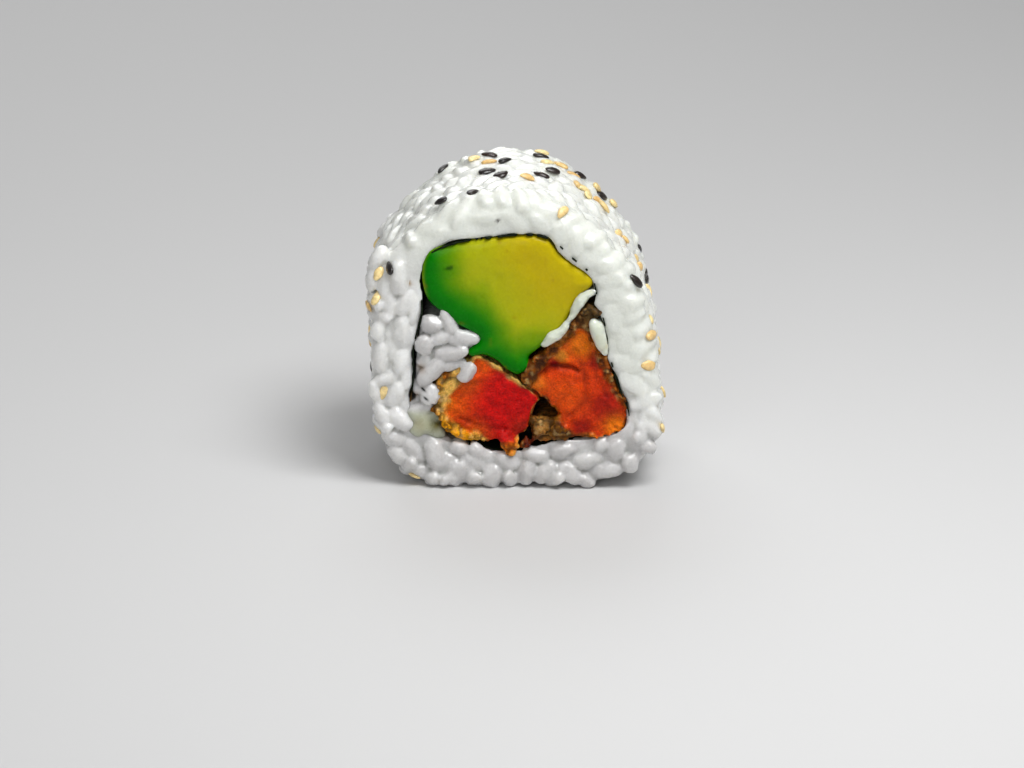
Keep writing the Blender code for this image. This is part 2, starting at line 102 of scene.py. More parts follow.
RIGHT_STICK = [
    (2.4, 17.2), (1.2, 19.6), (1.6, 21.4), (4.0, 23.6), (6.6, 26.2), (8.0, 28.6), (9.0, 30.4),
    (10.8, 32.0), (13.0, 32.4), (14.0, 30.6), (12.8, 29.2), (12.6, 27.0), (13.8, 24.4),
    (15.6, 22.4), (17.0, 18.8), (18.7, 15.0), (18.9, 12.2), (17.8, 10.0), (14.4, 9.2),
    (9.6, 8.9), (6.0, 8.4), (3.2, 8.3), (2.8, 10.2), (4.0, 12.0), (7.3, 12.6), (5.5, 14.8),
    (4.3, 16.1),
]
RIGHT_FLESH = [
    (2.4, 17.6), (4.0, 20.0), (5.4, 22.2), (7.4, 24.8), (9.2, 26.9), (10.5, 28.1), (12.0, 27.6),
    (13.0, 25.4), (14.0, 22.4), (15.2, 19.2), (16.9, 17.0), (18.6, 14.6), (18.9, 12.8),
    (18.2, 10.6), (15.6, 9.3), (12.7, 9.9), (10.1, 9.2), (9.0, 10.5), (7.4, 12.8), (5.6, 15.0),
    (4.2, 16.2),
]
CREAM_RIBBON = [
    (13.6, 35.6), (12.0, 35.2), (10.2, 34.2), (9.4, 32.6), (7.9, 30.3), (6.3, 27.9), (4.8, 26.6),
    (5.2, 26.0), (6.6, 26.4), (8.0, 27.4), (8.4, 29.0), (9.4, 31.0), (10.8, 32.2), (11.4, 33.2),
    (13.2, 34.4),
]
CREAM_BLOB = [
    (12.9, 29.9), (14.2, 30.0), (14.9, 28.0), (15.4, 25.6), (15.3, 24.3), (14.1, 24.6),
    (13.4, 26.6), (12.8, 28.2),
]

# Strings of cream drops at the cuts, as x, z and radius
RIBBON_STRINGS = [
    [(12.9, 35.3, 0.6), (11.8, 34.7, 0.75), (10.8, 33.7, 0.95), (9.9, 32.2, 0.8),
     (9.1, 30.7, 0.55), (8.3, 29.7, 0.5)],
    [(8.1, 29.1, 0.6), (7.3, 28.0, 0.8), (6.2, 27.2, 1.05), (5.4, 26.5, 0.7), (4.4, 25.7, 0.45)],
]
BLOB_STRINGS = [
    [(12.9, 29.6, 0.9), (13.5, 28.8, 1.25), (13.9, 27.4, 1.25), (14.4, 25.9, 0.95),
     (14.9, 24.4, 0.5)],
]

# The small heap of rice, and the bare corner of the rice below it
INNER_RICE = [
    (-16.8, 13.0), (-17.1, 20.0), (-16.7, 26.0), (-16.0, 29.4), (-14.2, 30.2), (-11.4, 29.2),
    (-8.6, 27.2), (-7.0, 25.6), (-9.4, 23.6), (-12.6, 21.2), (-14.6, 18.6), (-14.5, 15.4),
    (-15.2, 13.6),
]
POCKET = [
    (-18.1, 14.8), (-16.2, 15.4), (-14.4, 14.2), (-13.4, 12.0), (-12.2, 9.8), (-12.2, 8.4),
    (-15.0, 8.4), (-17.6, 10.0), (-18.6, 12.2),
]

# Loose grains that show at the front cut, down the left side and along the foot, as middle,
# length, width, the turn of the long way in degrees and how far each stands out of the cut
FACE_GRAINS = [
    (-23.6, 39.9, 5.0, 2.8, 60, -1.6), (-23.9, 38.4, 5.2, 2.9, 68, -3.0),
    (-24.4, 36.2, 4.8, 2.8, 82, -1.4), (-18.8, 32.8, 5.4, 2.6, 64, 0.4),
    (-17.4, 31.8, 5.8, 2.2, 80, 0.0), (-23.4, 27.8, 4.0, 2.8, 76, 0.2),
    (-19.6, 27.6, 6.0, 2.5, 86, 0.7), (-18.2, 27.2, 4.4, 1.9, 98, -0.2),
    (-23.2, 22.9, 5.9, 2.8, 94, 0.2), (-21.3, 24.2, 6.0, 2.4, 88, -0.2),
    (-19.6, 22.4, 4.8, 2.5, 84, 0.4), (-18.8, 20.0, 5.4, 1.8, 95, -0.1),
    (-21.8, 19.4, 5.2, 2.6, 20, 0.1), (-23.9, 16.6, 4.8, 2.4, -68, 0.0),
    (-20.6, 16.4, 5.2, 2.9, 66, 0.4), (-23.0, 12.9, 4.8, 2.6, -62, 0.3),
    (-19.8, 12.0, 5.2, 3.1, -48, 0.7), (-20.9, 8.8, 4.8, 2.8, -32, 0.4),
    (-20.0, 5.4, 4.6, 3.0, -40, 0.3), (-15.8, 2.8, 4.6, 2.9, -18, 0.4),
    (-13.8, 5.6, 6.0, 3.4, -74, 1.0), (-9.7, 6.9, 3.2, 2.4, -12, 0.5),
    (-6.7, 6.1, 3.6, 2.6, -44, 0.3), (-9.2, 2.9, 5.8, 3.6, -20, 1.2),
    (-4.0, 1.9, 4.6, 3.5, 78, 1.3), (-4.3, 5.2, 3.4, 2.2, 2, -0.1), (-1.3, 4.5, 4.6, 2.7, -24, 0.4),
    (1.9, 2.6, 4.8, 3.2, 74, 0.8), (5.1, 2.8, 5.0, 3.0, 42, 0.9), (3.5, 5.7, 4.8, 2.7, -16, 0.3),
    (9.2, 2.5, 5.2, 3.0, -34, 0.9), (12.0, 1.3, 3.8, 2.3, -14, 0.7), (8.1, 6.4, 5.0, 2.7, 10, 0.2),
    (12.3, 5.1, 5.4, 2.8, 20, 0.4), (15.7, 3.2, 5.6, 2.5, 4, 0.5), (14.6, 7.5, 3.2, 2.4, 46, 0.1),
    (19.7, 4.5, 3.6, 2.9, 88, 0.8), (22.6, 7.4, 3.2, 2.2, -22, 0.2), (17.2, 6.7, 4.6, 2.9, 68, 0.3),
    (20.9, 8.9, 5.0, 2.8, 60, 0.2),
]

# Grains of the small heap that show, as middle, length, width and the turn of the long way in
# degrees, and how far each stands out of the cut
HEAP_GRAINS = [
    (-14.5, 29.0, 3.9, 3.0, 2, 0.5), (-15.6, 25.4, 3.6, 3.2, 80, 0.8),
    (-11.7, 29.4, 5.2, 2.7, -62, 0.3), (-8.5, 26.6, 4.6, 2.6, -8, 0.5),
    (-13.0, 26.5, 4.8, 2.7, 20, 0.2), (-10.8, 26.6, 4.6, 2.6, -35, 0.1),
    (-11.0, 23.9, 6.0, 2.8, 14, 0.6), (-15.9, 22.6, 2.6, 2.0, 60, 0.2),
    (-14.4, 20.6, 6.4, 3.0, 44, 0.7), (-10.6, 21.6, 4.4, 2.5, 5, 0.2),
    (-8.4, 20.5, 3.9, 2.6, 48, 0.9), (-14.6, 16.4, 3.9, 3.4, 70, 0.6),
    (-16.2, 18.4, 4.4, 2.2, 62, 0.2), (-15.9, 13.9, 3.6, 2.4, 20, 0.2),
]

# Soft grains in the bare corner below the heap, in the same terms
POCKET_GRAINS = [
    (-16.6, 12.4, 4.6, 3.4, -50, 0.1), (-14.6, 9.9, 5.0, 3.2, -30, 0.0),
    (-17.0, 10.6, 4.4, 3.0, -60, 0.2), (-14.2, 11.8, 3.6, 3.0, 30, -0.5),
]

# Sesame seeds that show: a place near the rice, and the turn of the long way in degrees from
# across the roll to along it
BLACK_SEEDS = [
    (-5.0, 8.8, 51.1, 0), (-2.4, 4.4, 51.5, 40), (-5.3, 0.5, 51.1, 15), (-2.9, -3.1, 51.5, 35),
    (-7.7, -10.5, 50.6, 70), (-12.6, -9.7, 48.4, -25), (-12.9, 11.5, 48.2, 60),
    (3.6, 10.2, 50.8, 5), (5.5, 3.1, 50.4, 20), (3.6, -1.7, 50.8, -5), (10.4, 11.0, 47.6, 30),
    (14.4, 11.1, 44.2, 50), (21.4, 11.9, 34.6, 60), (20.0, -13.4, 36.7, 20),
    (21.9, 0.9, 32.5, 75), (-21.5, -14.8, 38.9, 70),
]
GOLDEN_SEEDS = [
    (3.8, 12.4, 51.2, 10), (4.8, 7.4, 50.6, 45), (6.9, 9.4, 49.6, -20), (9.2, 9.1, 48.3, 25),
    (9.8, 4.5, 47.9, 70), (10.9, 4.2, 47.3, 5), (11.7, 3.1, 46.6, 85), (13.2, 11.0, 45.3, 30),
    (13.5, 5.3, 45.0, 35), (7.3, -13.8, 48.7, 85), (16.4, 12.3, 42.4, 60), (14.3, 3.1, 44.3, -10),
    (17.3, -0.7, 41.2, 80), (18.1, -1.5, 40.0, 75), (20.9, 4.1, 35.4, 70), (20.5, -4.8, 36.4, 85),
    (1.2, -3.9, 51.2, 20), (-5.0, 5.1, 51.1, 0), (-7.6, 7.7, 50.7, 60), (-23.8, -14.0, 37.7, 20),
    (-23.9, -14.4, 33.4, 10), (-24.9, -12.6, 31.4, 80), (-22.8, -15.1, 16.7, 85),
    (-17.6, -14.5, 1.6, 40), (22.9, -11.2, 29.1, 85), (22.9, -13.4, 27.1, 80),
    (22.5, -14.9, 22.1, 85), (24.9, -13.7, 10.5, 60), (-23.8, -13.9, 9.6, 80),
]

# A seed's length, width and thickness, how many more lie where the photo doesn't show, and how far
# these keep from all others
SEED = (3.0, 1.85, 0.95)
HIDDEN_BLACK_SEEDS = 9
HIDDEN_GOLDEN_SEEDS = 16
SEED_SPACING = 3.9

# A cooked grain's length, width and thickness, and how many lie in each layer round the roll
GRAIN = (5.8, 3.0, 2.5)
TOP_GRAINS = 470
LOWER_GRAINS = 440

# Middle that bearings are taken from, and the number of points round the rice's body
CENTRE = np.array([0.0, 25.0])
AXIS_POINTS = 360

# How deep the lip of rice is that the knife drew over the seaweed's edge
LIP_DEPTH = 1.6

# How far inside the cuts the fillings' bodies end, below their grains, crags, domes and drops
HEAP_INSET = 1.25
POCKET_INSET = 1.4
AVOCADO_INSET = 0.75
STICK_INSET = 0.7
CREAM_INSET = 1.3

# Sizes of the cells that the skins are made of
RICE_VOXEL = 0.26
HEAP_VOXEL = 0.2
AVOCADO_VOXEL = 0.28
STICK_VOXEL = 0.24
CREAM_VOXEL = 0.16

# The most triangles that each piece may have
RICE_TRIANGLES = 186000
HEAP_TRIANGLES = 60000
AVOCADO_TRIANGLES = 70000
STICK_TRIANGLES = 110000
CREAM_TRIANGLES = 40000

# The photograph's viewpoint: focal length, place, and the degrees that it looks down and rolls
LENS = 185.1
CAMERA_PLACE = (-0.73, -860.5, 309.7)
CAMERA_PITCH = 19
CAMERA_ROLL = 0.7

# Soft lamps in metres and watts, as place, target, size and power
LAMPS = {
    "key": ((0.12, -0.14, 0.36), (0, 0, 0.03), (0.2, 0.2), 1.5),
    "front": ((-0.2, -0.75, 0.34), (0, 0, 0.025), (0.4, 0.4), 1.15),
    "back": ((-0.1, 0.45, 0.4), (0, 0, 0.03), (0.4, 0.3), 1.0),
}

# Random values at the corners of a grid, for clouds()
LATTICE = np.random.default_rng(RANDOM_SEED).uniform(-1, 1, 4096)


def rng(salt):
    """A seeded source of random draws, one for each job, so that one job never shifts another's."""
    return np.random.default_rng(RANDOM_SEED + salt)


def curve(points, spans=6, closed=True):
    """A smooth line through points of any number of coordinates."""
    points = np.asarray(points, float)
    width = points.shape[1]
    if closed:
        before, after = np.roll(points, 1, 0), np.roll(points, -1, 0)
        beyond = np.roll(points, -2, 0)
    else:
        before = np.vstack([points[:1], points[:-1]])
        after = np.vstack([points[1:], points[-1:]])
        beyond = np.vstack([points[2:], points[-1:], points[-1:]])
    t = np.arange(spans)[None, :, None] / spans
    p, a, b, c = (row[:, None] for row in (before, points, after, beyond))
    line = 0.5 * (2 * a + (b - p) * t + (2 * p - 5 * a + 4 * b - c) * t**2
                  + (3 * a - p - 3 * b + c) * t**3)
    if not closed:
        line = np.concatenate([line[:-1].reshape(-1, width), points[-1:]])
    return line.reshape(-1, width)


def at_depth(line, y):
    """Points of a line seen along the roll, set at y along it."""
    return np.column_stack([line[:, 0], np.broadcast_to(y, len(line)), line[:, 1]])


def distance_to(path, points):
    """How far points are from a line seen along the roll."""
    flat = points[:, [0, 2]]
    away = np.full(len(points), 99.0)
    for at in path:
        away = np.minimum(away, np.hypot(*(flat - at).T))
    return away


def signed_distance(points, loop):
    """How far 2D points are outside a closed loop, negative inside, and the way out of it."""
    points = np.asarray(points, float)
    distances, ways = np.empty(len(points)), np.empty((len(points), 2))
    start, end = loop, np.roll(loop, -1, 0)
    edge = end - start
    length2 = (edge * edge).sum(1)
    for low in range(0, len(points), 4000):
        part = points[low:low + 4000]
        offset = part[:, None] - start[None]
        share = np.clip((offset * edge).sum(2) / length2, 0, 1)
        gap = offset - share[..., None] * edge
        far = np.linalg.norm(gap, axis=2)
        near = far.argmin(1)
        rows = np.arange(len(part))
        x, y = part[:, :1], part[:, 1:]
        crossed = (start[:, 1] > y) != (end[:, 1] > y)
        rise = np.where(edge[:, 1] == 0, 1e-9, edge[:, 1])
        crossed &= x < start[:, 0] + edge[:, 0] * (y - start[:, 1]) / rise
        sign = np.where(crossed.sum(1) % 2 == 1, -1.0, 1.0)
        closest = far[rows, near]
        distances[low:low + 4000] = closest * sign
        ways[low:low + 4000] = gap[rows, near] * (sign / np.maximum(closest, 1e-6))[:, None]
    return distances, ways


def offset_loop(loop, by):
    """A closed loop moved outwards, by one distance or by one for each point."""
    way = np.roll(loop, -1, 0) - np.roll(loop, 1, 0)
    normal = np.column_stack([way[:, 1], -way[:, 0]])
    normal /= np.linalg.norm(normal, axis=1)[:, None]
    area = (loop[:, 0] * np.roll(loop[:, 1], -1) - loop[:, 1] * np.roll(loop[:, 0], -1)).sum()
    return loop + normal * np.broadcast_to(by, len(loop))[:, None] * np.sign(area)


def by_angle(loop, count):
    """Points of a loop at even angles round the slice's middle."""
    around = loop - CENTRE
    angle = np.arctan2(around[:, 1], around[:, 0])
    order = np.argsort(angle)
    angle, radius = angle[order], np.linalg.norm(around, axis=1)[order]
    wanted = -math.pi + np.arange(count) * 2 * math.pi / count
    reach = np.interp(wanted, angle, radius, period=2 * math.pi)
    return CENTRE + reach[:, None] * np.column_stack([np.cos(wanted), np.sin(wanted)])


def clouds(points, size, salt):
    """Smooth random values from -1 to 1, whose features are about size across."""
    grid = np.asarray(points) / size + 100 + 17.3 * salt
    cell = np.floor(grid).astype(np.int64)
    share = grid - cell
    share = share * share * (3 - 2 * share)
    total = np.zeros(len(grid))
    for corner in itertools.product((0, 1), repeat=3):
        key = ((cell + corner) * (73856093, 19349663, 83492791)).sum(1)
        weight = np.where(corner, share, 1 - share).prod(1)
        total += weight * LATTICE[(key ^ (key >> 11)) % 4096]
    return total


def step(low, high, value):
    """0 below low, 1 above high and a smooth rise between."""
    t = np.clip((value - low) / (high - low), 0, 1)
    return t * t * (3 - 2 * t)


def arc(turn, start, full, fall, end):
    """1 along a stretch of bearings and 0 off it, with a smooth start and end."""
    return step(start, full, turn) * (1 - step(fall, end, turn))


OUTER_LOOP = curve(OUTLINE)
NORI_LOOP = curve(NORI_PATH + BARE_CORNER)
HOLE_LOOP = offset_loop(NORI_LOOP, NORI_CLEARANCE)
FILLING_LOOPS = [curve(loop) for loop in (AVOCADO, RIGHT_STICK, CREAM_RIBBON, CREAM_BLOB)]


def bearing(points):
    """Degrees round the slice's middle, from 0 at the right through 90 at the top."""
    return np.degrees(np.arctan2(points[:, 2] - CENTRE[1], points[:, 0] - CENTRE[0])) % 360


def rim_radius(points):
    """The rounding of the rice's rims, which is small at the foot and large round the crown."""
    return FOOT_RIM_RADIUS + (RIM_RADIUS - FOOT_RIM_RADIUS) * step(5, 20, points[:, 2])


def pressed(points):
    """How smooth the knife and the rolling mat left the rice, from 0 to 1."""
    turn = (bearing(points) + 90) % 360
    cut = np.maximum(arc(turn, 52, 84, 216, 248), 0.16 * arc(turn, 200, 230, 285, 300))
    side = 0.12 + 0.6 * arc(turn, 60, 120, 242, 280)
    at_cut = step(HALF - 8.0, HALF - 4.0, np.abs(points[:, 1]))
    return at_cut * cut + (1 - at_cut) * side


def lip_over(line):
    """How far rice was drawn over the seaweed's edge at the cuts, along a line round the roll."""
    turn = (bearing(at_depth(line, 0.0)) + 130) % 360
    low = arc(turn, 14, 26, 96, 101)
    right = arc(turn, 112, 118, 198, 208)
    top = arc(turn, 200, 210, 256, 262)
    corner = arc(turn, 258, 263, 280, 286)
    left = step(280, 292, turn)
    gap = np.min([signed_distance(line, loop)[0] for loop in FILLING_LOOPS], axis=0)
    beside_avocado = step(152, 162, turn)
    touching = NORI_CLEARANCE + np.clip(gap + 0.14 + 0.24 * beside_avocado, 0.2, 1.7)
    flat = np.column_stack([line, np.zeros(len(line))])
    cloud = 0.75 * clouds(flat, 1.5, 4) + 0.6 * clouds(flat, 0.7, 3)
    covered = 0.62 * (low + corner) + touching * right + 0.26 * top + 0.2 * left
    return covered + (0.26 - 0.14 * right + 0.1 * top + 0.16 * left) * cloud


def ring_surface(points):
    """How far points are outside the rice's true surface, and the way out of it."""
    flat, way = signed_distance(points[:, [0, 2]], OUTER_LOOP)
    radius = rim_radius(points)
    a = flat + radius
    b = np.abs(points[:, 1]) - (HALF - radius)
    ends = np.sign(points[:, 1])
    corner = (a > 0) & (b > 0)
    reach = np.maximum(np.hypot(a, b), 1e-6)
    height = np.where(corner, reach, np.maximum(a, b)) - radius
    out = np.zeros_like(points)
    side_share = np.where(corner, a / reach, (a > b).astype(float))
    face_share = np.where(corner, b / reach, (a <= b).astype(float))
    out[:, [0, 2]] = way * side_share[:, None]
    out[:, 1] = ends * face_share
    return height, out


def unit(rows):
    """Directions of length one."""
    return rows / np.maximum(np.linalg.norm(rows, axis=-1, keepdims=True), 1e-9)


def grain_form(sides, rows):
    """A grain of unit size along X, as points and triangles."""
    points = [(-1.0, 0.0, 0.0)]
    for row in range(1, rows):
        angle = math.pi * row / rows
        wide = math.sin(angle) ** 0.66
        for side in range(sides):
            turn = 2 * math.pi * (side + 0.5 * (row % 2)) / sides
            points.append((-math.cos(angle), wide * math.cos(turn), wide * math.sin(turn)))
    points.append((1.0, 0.0, 0.0))
    faces = []
    last = len(points) - 1
    for side in range(sides):
        after = (side + 1) % sides
        faces.append((0, 1 + after, 1 + side))
        base = 1 + (rows - 2) * sides
        faces.append((last, base + side, base + after))
        for row in range(rows - 2):
            a, b = 1 + row * sides, 1 + (row + 1) * sides
            faces.append((a + side, a + after, b + side))
            faces.append((a + after, b + after, b + side))
    return np.array(points), np.array(faces)


def grains_mesh(centres, ways, outs, sizes, draw, form, facets=0):
    """Many grains as one set of points and triangles. Each one is a little bent and uneven, with
    facets where others press against it."""
    points, faces = form
    count = len(centres)
    across = unit(np.cross(outs, ways))
    outs = np.cross(ways, across)
    x, y, z = (points[None, :, i] * np.ones((count, 1)) for i in range(3))
    bend = draw.normal(0, 0.11, (count, 1))
    taper = draw.uniform(-0.14, 0.14, (count, 1))
    for _ in range(facets):
        side = unit(draw.normal(size=(count, 3)) * (0.4, 1, 1))
        past = x * side[:, :1] + y * side[:, 1:2] + z * side[:, 2:]
        past = np.maximum(past - draw.uniform(0.72, 0.94, (count, 1)), 0)
        x, y, z = x - past * side[:, :1], y - past * side[:, 1:2], z - past * side[:, 2:]
    y = y * (1 + taper * x) + bend * (x * x - 0.4)
    z = z * (1 - taper * x) - 0.12 * x * x
    half = sizes[:, None] / 2
    local = (ways[:, None] * (x * half[..., 0])[..., None]
             + across[:, None] * (y * half[..., 1])[..., None]
             + outs[:, None] * (z * half[..., 2])[..., None])
    verts = (centres[:, None] + local).reshape(-1, 3)
    tris = (faces[None] + np.arange(count)[:, None, None] * len(points)).reshape(-1, 3)
    return verts, tris


def balls_of(centres, ways, sizes):
    """Three balls along each grain that stand for it while grains are pushed apart."""
    arm = (sizes[:, 0] - sizes[:, 1]) / 2
    shift = np.array([-1.0, 0.0, 1.0])[None, :, None]
    return centres[:, None] + ways[:, None] * arm[:, None, None] * shift


def settle(centres, ways, sizes, depths, rounds, squeeze, still):
    """Pushes overlapping grains apart along the rice's surface. squeeze is how close they may
    lie, as a share of their width, and the first still grains don't move."""
    count = len(centres)
    radius = np.repeat(sizes[:, 1] / 2 * squeeze, 3)
    reach = radius[:, None] + radius[None]
    owner = np.repeat(np.arange(count), 3)
    same = owner[:, None] == owner[None]
    kept = centres[:still].copy(), ways[:still].copy()
    for _ in range(rounds):
        balls = balls_of(centres, ways, sizes)
        flat = balls.reshape(-1, 3)
        gap = flat[:, None] - flat[None]
        far = np.sqrt((gap * gap).sum(2)) + 1e-6
        overlap = np.clip(reach - far, 0, None)
        overlap[same] = 0
        push = (gap * (0.5 * overlap / far)[..., None]).sum(1)
        inside, way = signed_distance(flat[:, [0, 2]], HOLE_LOOP)
        into = np.clip(radius * 0.9 - inside, 0, 3)
        push[:, [0, 2]] += way * into[:, None]
        moved = balls + 0.6 * push.reshape(count, 3, 3)
        centres = moved.mean(1)
        ways = unit(moved[:, 2] - moved[:, 0])
        height, out = ring_surface(centres)
        centres = centres - out * (height + depths)[:, None]
        ways = unit(ways - out * (ways * out).sum(1)[:, None])
        centres[:still], ways[:still] = kept
    return centres, ways


def face_grains(draw):
    """The loose grains at the front cut: centres, long ways and sizes."""
    x, z, length, width, turn, stand = np.array(FACE_GRAINS).T
    width = 1.16 * width
    thickness = 0.88 * width
    centres = np.column_stack([x, -(HALF + stand - thickness / 2), z])
    turn = np.radians(turn)
    ways = unit(np.column_stack([np.cos(turn), draw.normal(0, 0.1, len(x)), np.sin(turn)]))
    return centres, ways, np.column_stack([length, width, thickness])


def scattered_on_ring(count, draw, depth, rounds=45, squeeze=0.96, placed=None):
    """Grains that lie on the rice's surface, at a depth below it. Placed grains keep their
    places and the others make room for them."""
    found = np.empty((0, 3))
    while len(found) < count:
        points = draw.uniform((-26, -HALF - 1, -1), (26, HALF + 1, 53), (6000, 3))
        height, _ = ring_surface(points)
        hole, _ = signed_distance(points[:, [0, 2]], HOLE_LOOP)
        found = np.vstack([found, points[(np.abs(height) < 0.8) & (hole > 1.2)]])
    centres = found[:count]
    sizes = np.array(GRAIN) * draw.uniform((0.84, 0.88, 0.9), (1.1, 1.1, 1.08), (count, 3))
    _, out = ring_surface(centres)
    ways = unit(np.cross(out, draw.normal(size=(count, 3))))
    left = (np.abs(centres[:, 1]) > HALF - 4.5) & (centres[:, 0] < -17)
    upright = np.array([0.0, 0.0, 1.0]) + draw.normal(0, 0.28, (count, 3))
    ways = np.where(left[:, None], unit(upright - out * (upright * out).sum(1)[:, None]), ways)
    depths = depth + draw.uniform(-0.25, 0.25, count)
    still = 0
    if placed:
        still = len(placed[0])
        centres, ways, sizes = (np.concatenate(pair) for pair in zip(placed, (centres, ways, sizes)))
        depths = np.concatenate([np.zeros(still), depths])
    centres, ways = settle(centres, ways, sizes, depths, rounds, squeeze, still)
    _, out = ring_surface(centres)
    keep = roomy(centres, ways, sizes, still)
    return centres[keep], ways[keep], out[keep], sizes[keep]


def roomy(centres, ways, sizes, still):
    """Which grains stay: those that neither hang over the seaweed nor lie across a placed grain."""
    balls = balls_of(centres, ways, sizes)
    radius = sizes[:, 1] / 2
    inside, _ = signed_distance(balls.reshape(-1, 3)[:, [0, 2]], HOLE_LOOP)
    over = (radius[:, None] - inside.reshape(-1, 3)).max(1)
    keep = over < np.where(centres[:, 0] < -14, 0.45, 1.0)
    for i in range(still):
        gap = np.linalg.norm(balls[:, :, None] - balls[i][None, None], axis=3).min((1, 2))
        keep &= gap > 0.5 * (radius + radius[i])
    keep[:still] = True
    return keep


def ring_core(depth_of):
    """The rice's body under its grains: a ring, as points and triangles. depth_of says how far
    each point of the true surface is pushed in."""
    outer = by_angle(OUTER_LOOP, AXIS_POINTS)
    hole = by_angle(HOLE_LOOP, AXIS_POINTS)
    shares = np.linspace(0.0, 1.0, 7)[:-1]
    bends = np.radians(np.linspace(90, 0, 6))
    along = np.linspace(-(HALF - RIM_RADIUS), HALF - RIM_RADIUS, 12)[1:-1]
    rim_start = offset_loop(outer, -RIM_RADIUS)
    edge = curve(NORI_PATH + BARE_CORNER, 18)
    lip = by_angle(offset_loop(edge, NORI_CLEARANCE - lip_over(edge)), AXIS_POINTS)
    front = [at_depth(lip + (rim_start - lip) * share, -HALF) for share in shares]
    for bend in bends:
        line = offset_loop(outer, -RIM_RADIUS * (1 - math.cos(bend)))
        front.append(at_depth(line, -(HALF - RIM_RADIUS) - RIM_RADIUS * math.sin(bend)))
    rings = front + [at_depth(outer, y) for y in along]
    rings += [ring * (1, -1, 1) for ring in reversed(front)]
    rings += [at_depth(hole, y) for y in np.linspace(HALF - LIP_DEPTH, LIP_DEPTH - HALF, 6)]
    points = np.concatenate(rings)
    height, out = ring_surface(points)
    on_hole = np.arange(len(points)) >= len(points) - 6 * AXIS_POINTS
    depth = np.where(on_hole, 0.0, depth_of(points))
    points = points - out * (depth + np.where(on_hole, 0, height))[:, None]
    faces = []
    count = len(rings)
    index = np.arange(AXIS_POINTS)
    for ring in range(count):
        a = ring * AXIS_POINTS + index
        b = (ring + 1) % count * AXIS_POINTS + index
        faces.append(np.column_stack([a, np.roll(a, -1), np.roll(b, -1)]))
        faces.append(np.column_stack([a, np.roll(b, -1), b]))
    return points, np.concatenate(faces)


def new_object(name, points, faces):
    """A mesh object from points and faces in this script's units, unscaled."""
    mesh = bpy.data.meshes.new(name)
    mesh.from_pydata(np.asarray(points).tolist(), [], np.asarray(faces).tolist())
    mesh.update()
    made = bpy.data.objects.new(name, mesh)
    bpy.context.scene.collection.objects.link(made)
    return made


def evaluated_mesh(piece):
    """A piece's mesh with its modifiers applied."""
    graph = bpy.context.evaluated_depsgraph_get()
    return bpy.data.meshes.new_from_object(piece.evaluated_get(graph))


def skin_over(parts, voxel):
    """One closed skin round overlapping closed parts: points, four-sided faces and edges."""
    points = np.concatenate([part[0] for part in parts])
    starts = np.cumsum([0] + [len(part[0]) for part in parts[:-1]])
    faces = np.concatenate([part[1] + start for part, start in zip(parts, starts)])
    piece = new_object("skin", points, faces)
    remesh = piece.modifiers.new("remesh", "REMESH")
    remesh.mode = "VOXEL"
    remesh.voxel_size = voxel
    mesh = evaluated_mesh(piece)
    skin = np.empty(len(mesh.vertices) * 3, np.float32)
    mesh.vertices.foreach_get("co", skin)
    corners = np.empty(len(mesh.loops), np.int32)
    mesh.loops.foreach_get("vertex_index", corners)
    edges = np.empty(len(mesh.edges) * 2, np.int32)
    mesh.edges.foreach_get("vertices", edges)
    bpy.data.objects.remove(piece)
    bpy.data.meshes.remove(mesh)
    return largest_shell(
        skin.reshape(-1, 3).astype(float), corners.reshape(-1, 4), edges.reshape(-1, 2))


def largest_shell(points, quads, edges):
    """The outer skin alone, without the shells of hollows inside it and loose crumbs."""
    label = np.arange(len(points))
    a, b = edges[:, 0], edges[:, 1]
    changed = True
    while changed:
        low = np.minimum(label[a], label[b])
        lower = label.copy()
        np.minimum.at(lower, a, low)
        np.minimum.at(lower, b, low)
        lower = lower[lower]
        changed = (lower != label).any()
        label = lower
    keep = label == np.bincount(label).argmax()
    index = np.cumsum(keep) - 1
    return points[keep], index[quads[keep[quads[:, 0]]]], index[edges[keep[a]]]


def eased(points, edges, weight, rounds):
    """Points drawn towards the middle of their neighbours, by a weight of their own."""
    count = len(points)
    a, b = edges[:, 0], edges[:, 1]
    number = np.bincount(a, minlength=count) + np.bincount(b, minlength=count)
    weight = np.broadcast_to(weight, count)[:, None]
    for _ in range(rounds):
        total = np.empty_like(points)
        for i in range(3):
            total[:, i] = (np.bincount(a, points[b, i], minlength=count)
                           + np.bincount(b, points[a, i], minlength=count))
        points = points + weight * (total / np.maximum(number, 1)[:, None] - points)
    return points


def normals_of(points, quads):
    """Outward directions at the points of a skin."""
    a, b, c, d = (points[quads[:, i]] for i in range(4))
    face = np.cross(c - a, d - b)
    total = np.zeros_like(points)
    for corner in range(4):
        for axis in range(3):
            total[:, axis] += np.bincount(quads[:, corner], face[:, axis], minlength=len(points))
    return unit(total)


def nearest(points, targets):
    """For each point, the number of the target that is closest to it."""
    tree = KDTree(len(targets))
    for i, target in enumerate(targets):
        tree.insert(target, i)
    tree.balance()
    return np.array([tree.find(point)[1] for point in points])


